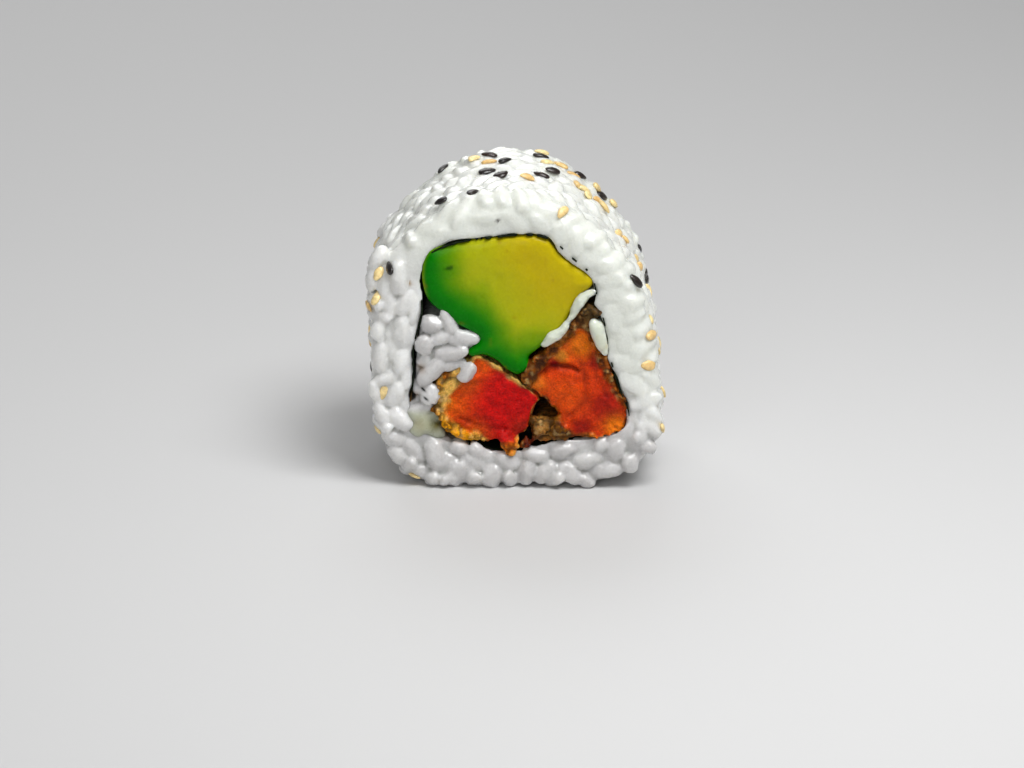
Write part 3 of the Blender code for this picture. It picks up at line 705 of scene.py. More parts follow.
def finished(name, points, faces, node_names, material, colours, most=None):
    """The piece that is shown: in metres, simplified to a budget, painted and riding on the roll.
    There is one colour for each point."""
    piece = new_object(name, points, faces)
    piece.data.calc_loop_triangles()
    number = len(piece.data.loop_triangles)
    if most and number > most:
        simplify = piece.modifiers.new("simplify", "DECIMATE")
        simplify.ratio = most / number
        mesh = evaluated_mesh(piece)
        piece.modifiers.clear()
        piece.data = mesh
        colours = colours[nearest([vertex.co for vertex in mesh.vertices], points)]
    layer = piece.data.color_attributes.new("paint", "FLOAT_COLOR", "POINT")
    layer.data.foreach_set("color", np.column_stack([colours, np.ones(len(colours))]).ravel())
    piece.data.name = name
    piece.data.transform(Matrix.Scale(MM, 4))
    piece.data.shade_smooth()
    piece.data.materials.append(material)
    if node_names:
        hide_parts(*node_names)
    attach(piece, "root")
    return piece


def srgb(red, green, blue):
    """A colour given as eye values from 0 to 255, as linear light."""
    c = np.array([red, green, blue]) / 255
    return np.where(c <= 0.04045, c / 12.92, ((c + 0.055) / 1.055) ** 2.4)


def blended(a, b, share):
    """Colours between a and b, by a share for each point."""
    share = np.asarray(share)[:, None]
    return a * (1 - share) + b * share


def spot(points, x, z, radius):
    """A soft round patch seen along the roll, from 1 in its middle to 0 well outside."""
    return np.exp(-((points[:, 0] - x) ** 2 + (points[:, 2] - z) ** 2) / radius**2)


def bar(loop, reach):
    """A closed bar of one cross-section between two cuts, as points and triangles."""
    count = len(loop)
    points = np.concatenate([at_depth(loop, y) for y in (-reach, reach)])
    caps = np.array(tessellate_polygon([[Vector((x, z, 0)) for x, z in loop]]))
    index = np.arange(count)
    after = np.roll(index, -1)
    sides = [np.column_stack([index, after, after + count]),
             np.column_stack([index, after + count, index + count])]
    return points, np.concatenate([caps, caps[:, ::-1] + count, *sides])


def lumps(centres, radii, draw, uneven=0.2):
    """Uneven balls as one set of points and triangles."""
    centres, radii = np.asarray(centres, float), np.asarray(radii, float)
    ways = unit(draw.normal(size=(len(centres), 3)))
    outs = unit(np.cross(ways, draw.normal(size=(len(centres), 3))))
    sizes = 2 * radii[:, None] * draw.uniform(1 - uneven, 1 + uneven, (len(centres), 3))
    return grains_mesh(centres, ways, outs, sizes, draw, grain_form(8, 6))


def both_faces(places):
    """Places (x, depth behind the cut, z) at the front cut, and the same at the back cut."""
    places = np.asarray(places, float)
    front = places * (1, 1, 1) - (0, HALF, 0)
    back = places * (1, -1, 1) + (0, HALF, 0)
    return np.concatenate([front, back])


RICE_WHITE = np.array([0.80, 0.80, 0.785])
RICE_GREY = np.array([0.60, 0.59, 0.585])
RICE_CUT = np.array([0.74, 0.765, 0.70])
# Painted shade that darkens the crevices between grains
RICE_CREVICE_SHADE = np.array([0.36, 0.37, 0.33])

# Crumbs of seed on the cut, as x, z and tone
RICE_SPECKS = [(-3.4, 47.6, srgb(50, 40, 30)), (-18.2, 36.2, srgb(156, 122, 70))]


def hollowness(points, faces, edges):
    """How deep each point of a skin lies in a crevice, negative on ridges."""
    away = eased(points, edges, 0.5, 10) - points
    return (away * normals_of(points, faces)).sum(1)


def sharpened(points, edges, share):
    """Points drawn away from their smoothed places by a share of their own, to deepen creases."""
    return points + (points - eased(points, edges, 0.5, 8)) * share[:, None]


def core_depth(points):
    """How far the rice's body lies below its grains. It is shallow where they are packed tight."""
    packed = step(HALF - 4.0, HALF - 1.5, np.abs(points[:, 1]))
    return 1.55 - 0.75 * packed - (1.0 - 0.75 * packed) * pressed(points)


def build_rice(material):
    """The outer rice: two layers of grains over a core, grown together where they touch."""
    draw = rng(1)
    top = scattered_on_ring(TOP_GRAINS, draw, depth=0.95, squeeze=1.0, placed=face_grains(draw))
    low = scattered_on_ring(LOWER_GRAINS, draw, depth=1.95, rounds=25)
    core = ring_core(core_depth)
    form = grain_form(12, 9)
    points, faces, edges = skin_over(
        [core, grains_mesh(*top, draw, form, 4), grains_mesh(*low, draw, form, 2)], RICE_VOXEL)
    smooth = pressed(points)
    points = eased(points, edges, 0.5, 2)
    points = sharpened(points, edges, 0.32 * (1 - smooth))
    uneven = 0.10 * clouds(points, 1.4, 15) + 0.05 * clouds(points, 0.7, 16)
    points = points + normals_of(points, faces) * (uneven * (1 - 0.5 * smooth))[:, None]
    points = eased(points, edges, 0.5 * smooth, 9)
    points = eased(points, edges, 0.5 * step(0.6, 0.95, smooth), 10)
    points = cut_flat(points, smooth)
    hollow = hollowness(points, faces, edges)
    balls = balls_of(top[0], top[1], top[3]).reshape(-1, 3)
    tone = draw.uniform(0, 1, len(top[0]))[nearest(points, balls) // 3]
    # Painted shade: the rice turns greyer and darker towards the foot
    foot = step(13, 6, points[:, 2])
    colours = blended(RICE_GREY, RICE_WHITE, 0.45 + 0.55 * tone - 0.4 * foot)
    colours = colours * (1 - 0.14 * foot)[:, None]
    colours = blended(colours, RICE_CUT, 0.8 * smooth)
    for x, z, speck in RICE_SPECKS:
        colours = blended(colours, speck, np.clip(1.6 * spot(points, x, z, 0.3), 0, 0.9))
    # Painted shade: crevices between the grains are darkened by how deep they lie
    colours = blended(colours, RICE_CREVICE_SHADE, step(0.02, 0.16, hollow) * 0.5 * (1 - smooth) ** 1.5)
    return finished("rice_grains", points, faces, ["rice"], material, colours,
                    RICE_TRIANGLES)


def cut_flat(points, smooth):
    """Presses what stands beyond the cuts back towards them, and keeps the foot on the floor."""
    points = points.copy()
    start = HALF - 0.25
    over = np.abs(points[:, 1]) - start
    keep = 0.95 - 0.8 * smooth
    past = over > 0
    level = start + np.minimum(over * keep, 1.6)
    points[past, 1] = (np.sign(points[:, 1]) * level)[past]
    points[:, 2] = np.maximum(points[:, 2], 0.0)
    return points


# Stains on the heap, with one dark olive patch of painted shade in the bare corner by the stick, as
# x, z, radius, tone and share, and middles of its dark flecks
HEAP_STAINS_AND_SHADE = [
    (-16.4, 11.2, 1.6, srgb(168, 160, 118), 0.6), (-13.5, 11.0, 1.35, srgb(92, 88, 26), 0.95),
    (-17.1, 16.4, 0.6, srgb(104, 76, 40), 0.9), (-16.3, 21.2, 0.8, srgb(150, 120, 84), 0.6),
]
HEAP_FLECKS = [(-15.8, 17.5), (-15.3, 16.0), (-14.0, 14.7)]
POCKET_TONE = srgb(178, 184, 160)
FLECK_TONE = srgb(14, 18, 10)


def build_inner_rice(material):
    """The small heap of rice beside the avocado, and the bare corner under it."""
    draw = rng(2)
    rows = np.array(HEAP_GRAINS + POCKET_GRAINS)
    centres, ways, sizes = [], [], []
    for sign in (-1, 1):
        turn = np.radians(rows[:, 4] if sign < 0 else rows[:, 4] + draw.normal(0, 14, len(rows)))
        y = sign * (HALF - 1.35 + rows[:, 5] - 0.1 * rows[:, 3])
        centres.append(np.column_stack([rows[:, 0], y, rows[:, 1]]))
        ways.append(np.column_stack([np.cos(turn), draw.normal(0, 0.12, len(rows)), np.sin(turn)]))
        sizes.append(np.column_stack([rows[:, 2], 1.12 * rows[:, 3], 0.95 * rows[:, 3]]))
    centres, ways, sizes = (np.concatenate(part) for part in (centres, ways, sizes))
    outs = unit(np.cross(ways, np.cross((0.0, 1.0, 0.0), ways)))
    grains = grains_mesh(centres, unit(ways), outs, sizes, draw, grain_form(12, 9), 3)
    core = bar(curve(INNER_RICE, 4), HALF - HEAP_INSET)
    corner = bar(curve(POCKET, 4), HALF - POCKET_INSET)
    points, faces, edges = skin_over([core, corner, grains], HEAP_VOXEL)
    pocket = step(14.2, 12.6, points[:, 2])
    points = eased(points, edges, 0.5, 2)
    points = sharpened(points, edges, 0.35 * (1 - pocket))
    points = eased(points, edges, 0.5 * pocket, 8)
    hollow = hollowness(points, faces, edges)
    tone = draw.uniform(0, 1, len(centres))[nearest(points, centres)]
    colours = blended(0.88 * RICE_GREY, RICE_WHITE, 0.45 * tone)
    # Painted shade in the crevices between the heap's grains
    colours = blended(colours, RICE_CREVICE_SHADE, 0.7 * step(0.02, 0.14, hollow))
    colours = blended(colours, POCKET_TONE, 0.85 * pocket)
    # The dark olive patch among these is painted shade beside the stick; the others are stains
    for x, z, radius, stain_and_shade, share in HEAP_STAINS_AND_SHADE:
        colours = blended(colours, stain_and_shade, share * spot(points, x, z, radius))
    for x, z in HEAP_FLECKS:
        along = 0.8 * (points[:, 0] - x) - 0.6 * (points[:, 2] - z)
        across = 0.6 * (points[:, 0] - x) + 0.8 * (points[:, 2] - z)
        fleck = np.exp(-(along / 0.45) ** 2 - (across / 0.17) ** 2)
        colours = blended(colours, FLECK_TONE, np.clip(1.8 * fleck, 0, 1))
    return finished("rice_heap", points, faces, ["inner_rice"], material, colours,
                    HEAP_TRIANGLES)


def domed(points, loop, rise, reach):
    """Raises the middle of a filling's cut faces, which sink towards their rims."""
    depth, _ = signed_distance(points[:, [0, 2]], loop)
    near = step(HALF - 2.0, HALF - 0.8, np.abs(points[:, 1]))
    lift = rise * (1 - np.exp(np.minimum(depth, 0) / reach)) * near
    points = points.copy()
    points[:, 1] += np.sign(points[:, 1]) * lift
    return points


# The side of the avocado that lay under its skin, and its tones from there towards the stone
AVOCADO_SKIN_SIDE = [(-16.0, 41.6), (-16.6, 37.0), (-15.4, 33.6), (-11.6, 30.2), (-7.4, 26.8),
                     (-7.8, 23.6), (-3.6, 21.8), (0.4, 19.4), (3.0, 21.6)]
SKIN_GREEN = srgb(0, 118, 0)
GREEN = srgb(22, 128, 0)
MIDDLE_GREEN = srgb(96, 146, 0)
LIME = srgb(171, 175, 18)
YELLOW = srgb(187, 168, 14)
RIM_LIME = srgb(150, 176, 0)
MARK_BROWN = srgb(140, 104, 8)
NICK_GREEN = srgb(10, 60, 0)


def build_avocado(material):
    """The cut avocado, green under its skin side and yellow towards the stone."""
    loop = curve(AVOCADO, 4)
    points, faces, edges = skin_over([bar(loop, HALF - AVOCADO_INSET)], AVOCADO_VOXEL)
    points = eased(points, edges, 0.5, 8)
    points = domed(points, loop, 0.75, 1.1)
    wave = 0.12 * clouds(points, 3.5, 5) + 0.05 * clouds(points, 1.2, 6)
    points[:, 1] += wave * np.sign(points[:, 1])
    x, z = points[:, 0], points[:, 2]
    away = distance_to(curve(AVOCADO_SKIN_SIDE, 6, closed=False), points)
    broad = step(42, 36, z) * step(22, 27, z) * step(1, -6, x)
    away = away / (1 + 0.18 * broad)
    away = away + 0.7 * clouds(points, 2.6, 7)
    colours = blended(SKIN_GREEN, GREEN, step(0.8, 3.2, away))
    colours = blended(colours, MIDDLE_GREEN, step(1.8, 5.4, away))
    colours = blended(colours, LIME, step(4.0, 8.6, away))
    inset, _ = signed_distance(points[:, [0, 2]], loop)
    rim = np.exp(-(inset / 0.4) ** 2) * step(-11, -14, x) * step(33, 36, z)
    colours = blended(colours, RIM_LIME, 0.7 * rim)
    colours = blended(colours, YELLOW, step(7, 19, away + 0.25 * (x + 4)))
    colours = blended(colours, MARK_BROWN, 0.4 * step(0.58, 0.85, clouds(points, 1.3, 8)))
    nick = np.hypot((x + 11.5) / 0.9, (z - 41.6 - 0.2 * x) / 0.36)
    nick = nick + 0.5 * clouds(points, 0.5, 21)
    colours = blended(colours, NICK_GREEN, 0.8 * step(1.2, 0.5, nick))
    return finished("avocado_cut", points, faces, ["avocado"], material, colours,
                    AVOCADO_TRIANGLES)


def along_path(path, count, spread, draw):
    """Random places (x, z) near a line through a few points."""
    line = curve(path, 12, closed=False)
    pick = line[draw.integers(0, len(line), count)]
    return pick + draw.normal(0, spread, (count, 2))


def crust_lumps(bands, draw):
    """Crags of batter at both cuts. Each band is a path, a number of lumps, their spread and
    their radius."""
    parts = []
    for path, count, spread, radius in bands:
        flat = along_path(path, count, spread, draw)
        depth = draw.uniform(0.2, 2.0, count)
        places = both_faces(at_depth(flat, depth))
        radii = np.tile(radius * draw.uniform(0.55, 1.25, count), 2)
        parts.append(lumps(places, radii, draw))
    return parts


CRUST_GOLD = srgb(200, 134, 14)
CRUST_TAN = srgb(210, 168, 84)
CRUST_BROWN = srgb(124, 70, 10)
CRUST_DARK = srgb(128, 64, 4)
CRUST_CREAM = srgb(206, 170, 110)


def patchwork(points, tones):
    """Colours from a main tone and soft patches over it, each as x, z, radius and tone."""
    colours = np.tile(tones[0], (len(points), 1))
    for x, z, radius, tone in tones[1:]:
        colours = blended(colours, tone, np.clip(spot(points, x, z, radius) * 1.4, 0, 1))
    return colours


def build_stick(name, outline, flesh_outline, bands, tones, creases, crust_tones, salt, material):
    """A battered stick: cut flesh with creases, and a crust of crags and bubbles round it."""
    draw = rng(salt)
    parts = [bar(curve(outline, 4), HALF - STICK_INSET)] + crust_lumps(bands, draw)
    points, faces, edges = skin_over(parts, STICK_VOXEL)
    points = eased(points, edges, 0.5, 6)
    outside, _ = signed_distance(points[:, [0, 2]], curve(flesh_outline, 4))
    crust = step(-0.15, 0.35, outside + 0.35 * clouds(points, 0.9, salt))
    tinted = step(-0.55, 0.5, outside + 0.5 * clouds(points, 1.1, salt))
    at_face = step(HALF - 2.4, HALF - 1.2, np.abs(points[:, 1]))
    bubbles = (0.6 * np.abs(clouds(points, 1.15, salt + 1))
               + 0.4 * np.abs(clouds(points, 0.6, salt + 2)))
    crags = bubbles - 0.35
    grain = (0.13 * clouds(points, 0.55, salt + 3) + 0.14 * clouds(points, 1.1, salt + 7)
             + 0.24 * clouds(points, 2.6, salt + 4))
    edge = -0.5 * np.exp(-np.maximum(-outside, 0) / 0.9) * at_face
    fold = np.zeros(len(points))
    for path, width, depth in creases:
        away = distance_to(curve(path, 10, closed=False), points)
        fold = np.maximum(fold, depth * np.exp(-(away / width) ** 2))
    lift = crust * 0.65 * crags + (1 - crust) * (grain + edge - fold * at_face)
    points = points + normals_of(points, faces) * lift[:, None]
    reach = HALF + 0.5
    points[:, 1] = np.clip(points[:, 1], -reach, reach)
    colours = patchwork(points, tones)
    # Painted shade: the flesh is darkened along its creases
    colours = blended(colours, colours * 0.45, np.clip(fold * 1.1, 0, 0.8))
    mottle = 0.22 * clouds(points, 0.5, salt + 5) + 0.15 * clouds(points, 1.4, salt + 6)
    colours = colours * (1 + mottle)[:, None]
    shade = patchwork(points, crust_tones)
    # Painted shade and light: the crust is darkened in the hollows between its crags and lightened on
    # their tops
    shade = blended(shade * 0.35, shade * 1.25, step(0.12, 0.5, bubbles))
    fleck = step(0.3, 0.7, clouds(points, 0.8, salt + 8)) * at_face
    shade = blended(shade, CRUST_CREAM, 0.45 * fleck)
    colours = np.clip(blended(colours, shade, tinted), 0.004, 0.9)
    return finished(name + "_battered", points, faces, [name], material, colours,
                    STICK_TRIANGLES)


def build_sticks(material):
    """Both battered sticks. Bands are paths of crags with their number, spread and radius, tones
    are a main one and patches as x, z, radius and tone, and creases are paths, widths and depths."""
    red, orange, deep = srgb(188, 14, 0), srgb(208, 78, 0), srgb(164, 28, 0)
    build_stick(
        "sweet_potato_left", LEFT_STICK, LEFT_FLESH,
        [([(-9.6, 21.0), (-12.2, 19.6), (-13.3, 17.2), (-13.3, 14.8)], 60, 0.22, 0.5),
         ([(-14.4, 14.0), (-12.6, 12.8), (-11.6, 10.6), (-10.0, 9.4), (-7.4, 9.1)], 70, 0.24, 0.5),
         ([(-2.4, 9.0), (-1.5, 8.3), (-0.4, 7.4)], 26, 0.5, 0.9)],
        [red, (-11.0, 14.4, 3.2, srgb(214, 78, 0)), (-11.8, 14.6, 1.4, srgb(218, 104, 0)),
         (-9.0, 19.0, 2.6, srgb(206, 80, 0)), (-6.0, 22.0, 2.0, orange), (-7.0, 9.4, 2.4, orange),
         (-1.0, 14.0, 4.0, red), (1.0, 10.4, 2.0, deep)],
        [([(-9.6, 12.4), (-6.4, 10.9), (-2.0, 10.4)], 0.5, 0.35)],
        [CRUST_TAN, (-12.4, 10.3, 2.4, CRUST_GOLD), (-9.0, 8.6, 2.6, srgb(206, 140, 14)),
         (-13.4, 18.4, 1.1, srgb(176, 118, 24)), (-12.0, 20.2, 0.9, srgb(150, 84, 14)),
         (-14.6, 14.0, 1.3, srgb(140, 86, 16)), (-1.5, 8.0, 2.2, srgb(212, 112, 12))],
        11, material)
    build_stick(
        "sweet_potato_right", RIGHT_STICK, RIGHT_FLESH,
        [([(1.6, 19.4), (2.2, 21.6), (4.6, 24.0), (7.2, 26.6)], 60, 0.42, 0.55),
         ([(9.3, 29.3), (9.5, 29.1)], 4, 0.1, 0.95),
         ([(10.8, 31.2), (12.2, 31.8), (13.6, 31.2)], 34, 0.45, 0.55),
         ([(13.4, 25.2), (15.0, 22.2), (16.6, 19.0), (18.4, 15.4)], 44, 0.26, 0.5),
         ([(3.4, 10.8), (5.4, 10.6), (8.4, 10.0)], 24, 0.7, 0.95),
         ([(1.4, 7.8), (2.4, 7.6), (4.0, 8.2)], 16, 0.3, 0.5),
         ([(12.6, 9.7), (16.0, 9.6), (18.6, 12.5)], 24, 0.22, 0.42)],
        [srgb(210, 62, 0), (15.2, 14.8, 3.0, deep), (13.2, 22.6, 1.3, srgb(176, 26, 0)),
         (11.2, 10.9, 1.8, deep), (11.0, 25.8, 2.4, srgb(206, 104, 4)),
         (7.4, 23.6, 1.2, srgb(196, 120, 34)), (17.2, 10.9, 2.0, srgb(212, 108, 6)),
         (8.2, 16.4, 3.2, srgb(210, 74, 0)), (6.4, 22.0, 0.8, srgb(140, 14, 0)),
         (3.6, 18.6, 1.4, srgb(214, 106, 24))],
        [([(4.4, 20.4), (6.0, 21.5), (8.6, 21.7), (10.4, 20.9)], 0.5, 0.9),
         ([(10.8, 22.0), (11.6, 18.6), (11.4, 15.2), (9.2, 12.8)], 0.6, 0.4),
         ([(12.6, 23.6), (13.4, 20.6), (15.2, 16.8)], 0.5, 0.35)],
        [CRUST_BROWN, (4.6, 22.6, 3.4, srgb(116, 62, 6)), (12.6, 31.4, 2.4, srgb(84, 62, 30)),
         (9.6, 29.2, 1.3, srgb(104, 62, 22)), (15.8, 20.6, 3.4, CRUST_DARK),
         (4.6, 10.8, 2.0, srgb(138, 98, 46)), (7.6, 10.0, 2.0, srgb(104, 64, 12)),
         (2.4, 8.2, 1.4, srgb(90, 30, 6)), (16.4, 9.6, 3.2, srgb(206, 112, 18))],
        31, material)


CREAM_WHITE = srgb(210, 216, 202)
CREAM_TAN = srgb(188, 170, 120)


def string_of(beads, draw):
    """Overlapping balls strung along a few beads (x, z, radius), at both cuts."""
    rows = curve(beads, 9, closed=False)
    depth = 0.3 + 0.15 * clouds(rows * (1, 1, 0), 1.5, 14)
    places = both_faces(at_depth(rows, depth))
    return lumps(places, np.tile(rows[:, 2], 2), draw, 0.04)


def build_cream(name, outline, strings, salt, material):
    """Cream squeezed between the fillings: a ribbon that runs through, with glossy drops."""
    draw = rng(salt)
    body = bar(curve(outline, 4), HALF - CREAM_INSET)
    parts = [body] + [string_of(beads, draw) for beads in strings]
    points, faces, edges = skin_over(parts, CREAM_VOXEL)
    points = eased(points, edges, 0.5, 10)
    uneven = 0.13 * clouds(points, 0.8, salt + 1) + 0.14 * clouds(points, 1.7, salt + 2)
    points = points + normals_of(points, faces) * uneven[:, None]
    tan = step(0.0, 0.8, clouds(points, 1.8, salt) + 0.5 * step(27.5, 24.5, points[:, 2]))
    colours = blended(CREAM_WHITE, CREAM_TAN, 0.5 * tan)
    return finished(name + "_soft", points, faces, [name], material, colours,
                    CREAM_TRIANGLES)


NORI_BLACK = srgb(7, 12, 6)
NORI_GREEN = srgb(22, 34, 15)
NORI_BROWN = srgb(92, 62, 26)


def build_nori(material):
    """The sheet of seaweed, a little wavy and torn along its cut edges, as one closed skin."""
    line = curve(NORI_PATH, 16, closed=False)
    way = np.gradient(line, axis=0)
    normal = unit(np.column_stack([way[:, 1], -way[:, 0]]))
    lip = lip_over(line)
    rows = np.linspace(-1, 1, 25)
    flat = at_depth(line, 0.0)
    reach = HALF - 0.4 - 1.6 * (lip > 0.4) + 0.3 * clouds(flat, 0.8, 9)
    for at, half in SHOWN_EDGES:
        away = np.abs((bearing(flat) - at + 180) % 360 - 180)
        reach = np.where(away < half, HALF, reach)
    grid = []
    for side in (1, -1):
        for row in rows:
            at = at_depth(line, row * reach)
            push = side * NORI_THICKNESS / 2 * (0.8 + 0.3 * clouds(at, 1.5, 10))
            push = push + 0.06 * clouds(at, 2.5, 12)
            at[:, [0, 2]] += normal * push[:, None]
            grid.append(at)
        rows = rows[::-1]
    points = np.concatenate(grid)
    count, rings = len(line), len(grid)
    faces = []
    for ring in range(rings):
        a, b = ring * count, (ring + 1) % rings * count
        for i in range(count - 1):
            faces.append((a + i, b + i, b + i + 1, a + i + 1))
    half = rings // 2
    for ring in range(half - 1):
        a, b = ring * count, (ring + 1) * count
        c, d = (rings - 1 - ring) * count, (rings - 2 - ring) * count
        faces.append((a, c, d, b))
        last = count - 1
        faces.append((a + last, b + last, d + last, c + last))
    colours = blended(NORI_BLACK, NORI_GREEN, 0.5 + 0.5 * clouds(points, 0.8, 13))
    free_end = step(17.5, 14.8, points[:, 2]) * (points[:, 0] < -16)
    colours = blended(colours, NORI_BROWN, free_end)
    return finished("seaweed", points, faces, ["nori"], material, colours)


SEED_BLACK = srgb(16, 13, 12)
SEED_BROWN = srgb(58, 34, 26)
SEED_PALE = srgb(244, 222, 160)
SEED_TOASTED = srgb(214, 150, 62)


def seed_form():
    """A seed of unit size with one pointed end."""
    points, faces = grain_form(10, 8)
    narrow = 1 - 0.36 * np.clip(points[:, 0] + 0.1, 0, 2) ** 1.4
    points = points * np.column_stack([np.ones(len(points)), narrow, narrow])
    return points, faces


def seeds_on(tree, places, draw):
    """Centres, long ways and outward ways of seeds dropped on the rice near some places."""
    centres, ways, outs = [], [], []
    points = places[:, :3]
    _, out = ring_surface(points)
    for point, up, turn in zip(points, out, np.radians(places[:, 3])):
        hit, normal, _, _ = tree.ray_cast(Vector(point + up * 6), Vector(-up), 14)
        if hit is None:
            continue
        face = unit(np.array(normal) * 0.6 + up * 0.4)
        level = unit(np.cross((0.0, 1.0, 0.0), up) + (1e-6, 0, 0))
        long_way = level * math.cos(turn) + np.array((0.0, 1.0, 0.0)) * math.sin(turn)
        long_way = unit(long_way - face * (long_way @ face))
        centres.append(np.array(hit) + face * draw.uniform(0.12, 0.3))
        ways.append(long_way)
        outs.append(face)
    return np.array(centres), np.array(ways), np.array(outs)


def hidden_places(count, taken, draw):
    """Places for seeds where the photo doesn't show the sides and the far rim, clear of others."""
    found = [place[:3] for place in taken]
    rows = []
    line = by_angle(OUTER_LOOP, 360)
    while len(rows) < count:
        turn, y = draw.uniform(-38, 228), draw.uniform(-6, HALF)
        at = line[int(turn + 180) % 360]
        place = np.array((at[0], y, at[1]))
        on_shown_crown = 15 < turn < 168 and y < 12.5
        if on_shown_crown or min(np.linalg.norm(found - place, axis=1)) < SEED_SPACING:
            continue
        found.append(place)
        rows.append((*place, draw.uniform(0, 180)))
    return np.array(rows)


def build_seeds(rice, material):
    """Sesame seeds on the rice, one piece for each kind."""
    corners = [tuple(vertex.co / MM) for vertex in rice.data.vertices]
    tree = BVHTree.FromPolygons(corners, [tuple(face.vertices) for face in rice.data.polygons])
    kinds = [
        ("sesame_black", BLACK_SEEDS, HIDDEN_BLACK_SEEDS, SEED_BLACK, SEED_BROWN, 0.25, 41),
        ("sesame_golden", GOLDEN_SEEDS, HIDDEN_GOLDEN_SEEDS, SEED_PALE, SEED_TOASTED, 0.34, 42),
    ]
    form = seed_form()
    taken = np.array(BLACK_SEEDS + GOLDEN_SEEDS, float)
    for name, shown, hidden, tone, other, mix, salt in kinds:
        draw = rng(salt)
        unseen = hidden_places(hidden, taken, draw)
        taken = np.concatenate([taken, unseen])
        places = np.concatenate([np.array(shown, float), unseen])
        centres, ways, outs = seeds_on(tree, places, draw)
        ways = ways * draw.choice((-1, 1), len(ways))[:, None]
        sizes = np.array(SEED) * draw.uniform(0.86, 1.08, (len(centres), 3))
        points, faces = grains_mesh(centres, ways, outs, sizes, draw, form)
        share = np.clip(draw.beta(1.2, 2.0, len(centres)) * 2 * mix, 0, 1)
        colours = blended(tone, other, np.repeat(share, len(form[0])))
        colours = colours * (1 + 0.25 * clouds(points, 0.6, salt))[:, None]
        finished(name, points, faces, [], material, colours)


def painted(name, roughness, gloss=0.5, patchy=0.09, coat=0.0, glow=0.0, glow_radius=(1, 1, 1),
            glow_size=1.0, speckle=0.1, speckle_size=0.4, bump=0.1, bump_size=0.3):
    """A food's material: its painted colour with fine speckles, fine relief and patchy gloss.
    glow is how much light passes under the surface. Sizes are in millimetres."""
    made = bpy.data.materials.new(name)
    made.use_nodes = True
    nodes, links = made.node_tree.nodes, made.node_tree.links
    shader = nodes["Principled BSDF"]
    paint = nodes.new("ShaderNodeAttribute")
    paint.attribute_name = "paint"
    where = nodes.new("ShaderNodeTexCoord")

    def noise_of(size, detail):
        texture = nodes.new("ShaderNodeTexNoise")
        texture.inputs["Scale"].default_value = 1 / (size * MM)
        texture.inputs["Detail"].default_value = detail
        links.new(where.outputs["Object"], texture.inputs["Vector"])
        return texture.outputs["Fac"]

    def ranged(value, low, high):
        mapped = nodes.new("ShaderNodeMapRange")
        limits = {"From Min": 0.3, "From Max": 0.7, "To Min": low, "To Max": high}
        for end, number in limits.items():
            mapped.inputs[end].default_value = number
        links.new(value, mapped.inputs["Value"])
        return mapped.outputs["Result"]

    tint = nodes.new("ShaderNodeMix")
    tint.data_type = "RGBA"
    tint.blend_type = "MULTIPLY"
    tint.inputs["Factor"].default_value = 1.0
    links.new(paint.outputs["Color"], tint.inputs["A"])
    links.new(ranged(noise_of(speckle_size, 3), 1 - speckle, 1 + speckle), tint.inputs["B"])
    links.new(tint.outputs["Result"], shader.inputs["Base Color"])
    links.new(ranged(noise_of(3 * speckle_size, 2), roughness - patchy, roughness + patchy),
              shader.inputs["Roughness"])
    relief = nodes.new("ShaderNodeBump")
    relief.inputs["Strength"].default_value = 1.0
    relief.inputs["Distance"].default_value = bump * MM
    links.new(noise_of(bump_size, 4), relief.inputs["Height"])
    links.new(relief.outputs["Normal"], shader.inputs["Normal"])
    shader.inputs["Specular IOR Level"].default_value = gloss
    shader.inputs["Coat Weight"].default_value = coat
    shader.inputs["Coat Roughness"].default_value = 0.12
    shader.inputs["Subsurface Weight"].default_value = glow
    shader.inputs["Subsurface Radius"].default_value = glow_radius
    shader.inputs["Subsurface Scale"].default_value = glow_size * MM
    return made


def camera():
    """The camera at the photograph's viewpoint."""
    lens = bpy.data.cameras.new("camera")
    lens.lens = LENS
    lens.sensor_width = 36
    lens.clip_end = 10
    view = bpy.data.objects.new("camera", lens)
    bpy.context.scene.collection.objects.link(view)
    pitch = Matrix.Rotation(math.radians(90 - CAMERA_PITCH), 4, "X")
    roll = Matrix.Rotation(math.radians(CAMERA_ROLL), 4, "Z")
    view.matrix_world = Matrix.Translation(Vector(CAMERA_PLACE) * MM) @ pitch @ roll
    bpy.context.scene.camera = view


def light(name, place, target, size, power):
    """A soft white lamp that points at its target."""
    lamp = bpy.data.lights.new(name, "AREA")
    lamp.shape = "RECTANGLE"
    lamp.size, lamp.size_y = size
    lamp.energy = power
    made = bpy.data.objects.new(name, lamp)
    bpy.context.scene.collection.objects.link(made)
    made.location = place
    way = Vector(target) - Vector(place)
    made.rotation_euler = way.to_track_quat("-Z", "Y").to_euler()


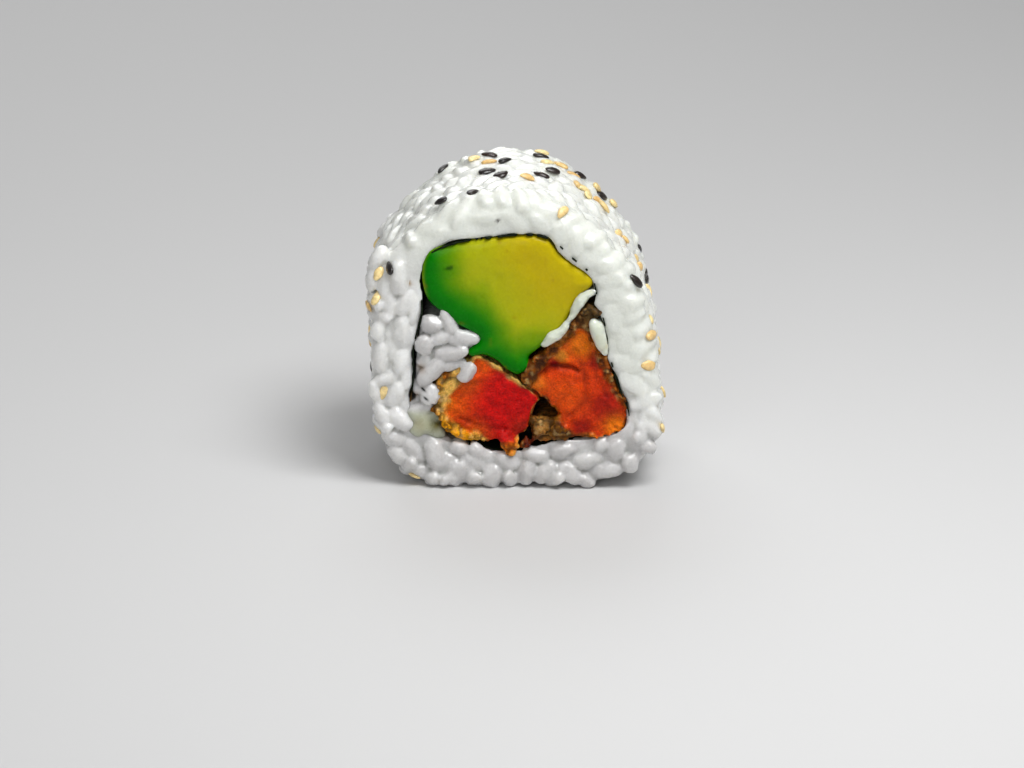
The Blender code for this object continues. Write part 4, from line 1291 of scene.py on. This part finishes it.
def studio():
    """A plain pale floor and soft light."""
    floor = new_object("floor", [(-900, -1200, 0), (900, -1200, 0), (900, 1600, 0), (-900, 1600, 0)],
                       [(0, 1, 2, 3)])
    floor.data.transform(Matrix.Scale(2 * MM, 4))
    paint = bpy.data.materials.new("floor")
    paint.use_nodes = True
    shader = paint.node_tree.nodes["Principled BSDF"]
    shader.inputs["Base Color"].default_value = (0.60, 0.60, 0.60, 1)
    shader.inputs["Roughness"].default_value = 0.7
    floor.data.materials.append(paint)
    for name, lamp in LAMPS.items():
        light(name, *lamp)
    world = bpy.context.scene.world or bpy.data.worlds.new("world")
    bpy.context.scene.world = world
    world.use_nodes = True
    world.node_tree.nodes["Background"].inputs["Color"].default_value = (0.8, 0.8, 0.8, 1)
    world.node_tree.nodes["Background"].inputs["Strength"].default_value = 0.25
    bpy.context.scene.view_settings.view_transform = "Standard"


def main():
    """Builds the roll and its studio."""
    camera()
    studio()
    grains = painted("rice", 0.3, coat=0.3, glow=0.8, glow_radius=(1.0, 0.96, 0.88),
                     glow_size=2.2, speckle=0.04, bump=0.06, bump_size=0.8)
    flesh = painted("sweet_potato", 0.36, gloss=0.1, patchy=0.2, glow=0.35,
                    glow_radius=(1.0, 0.35, 0.1), glow_size=0.9, speckle=0.26, speckle_size=0.3,
                    bump=0.16, bump_size=0.3)
    fruit = painted("avocado", 0.26, gloss=0.1, patchy=0.12, glow=0.35, glow_radius=(0.8, 1.0, 0.25),
                    glow_size=1.2, speckle=0.06, speckle_size=0.5, bump=0.04, bump_size=0.5)
    cream = painted("cream", 0.14, coat=0.8, glow=0.8, glow_radius=(1.0, 0.95, 0.7),
                    glow_size=1.4, speckle=0.03, bump=0.03, bump_size=1.0)
    seaweed = painted("nori", 0.6, gloss=0.1, speckle=0.3, speckle_size=0.5, bump=0.08, bump_size=0.4)
    seed = painted("sesame", 0.32, coat=0.3, glow=0.1, speckle=0.15, speckle_size=0.4,
                   bump=0.04, bump_size=0.25)
    rice = build_rice(grains)
    build_seeds(rice, seed)
    build_inner_rice(grains)
    build_avocado(fruit)
    build_sticks(flesh)
    build_cream("cream_ribbon", CREAM_RIBBON, RIBBON_STRINGS, 51, cream)
    build_cream("cream_blob", CREAM_BLOB, BLOB_STRINGS, 52, cream)
    build_nori(seaweed)


main()
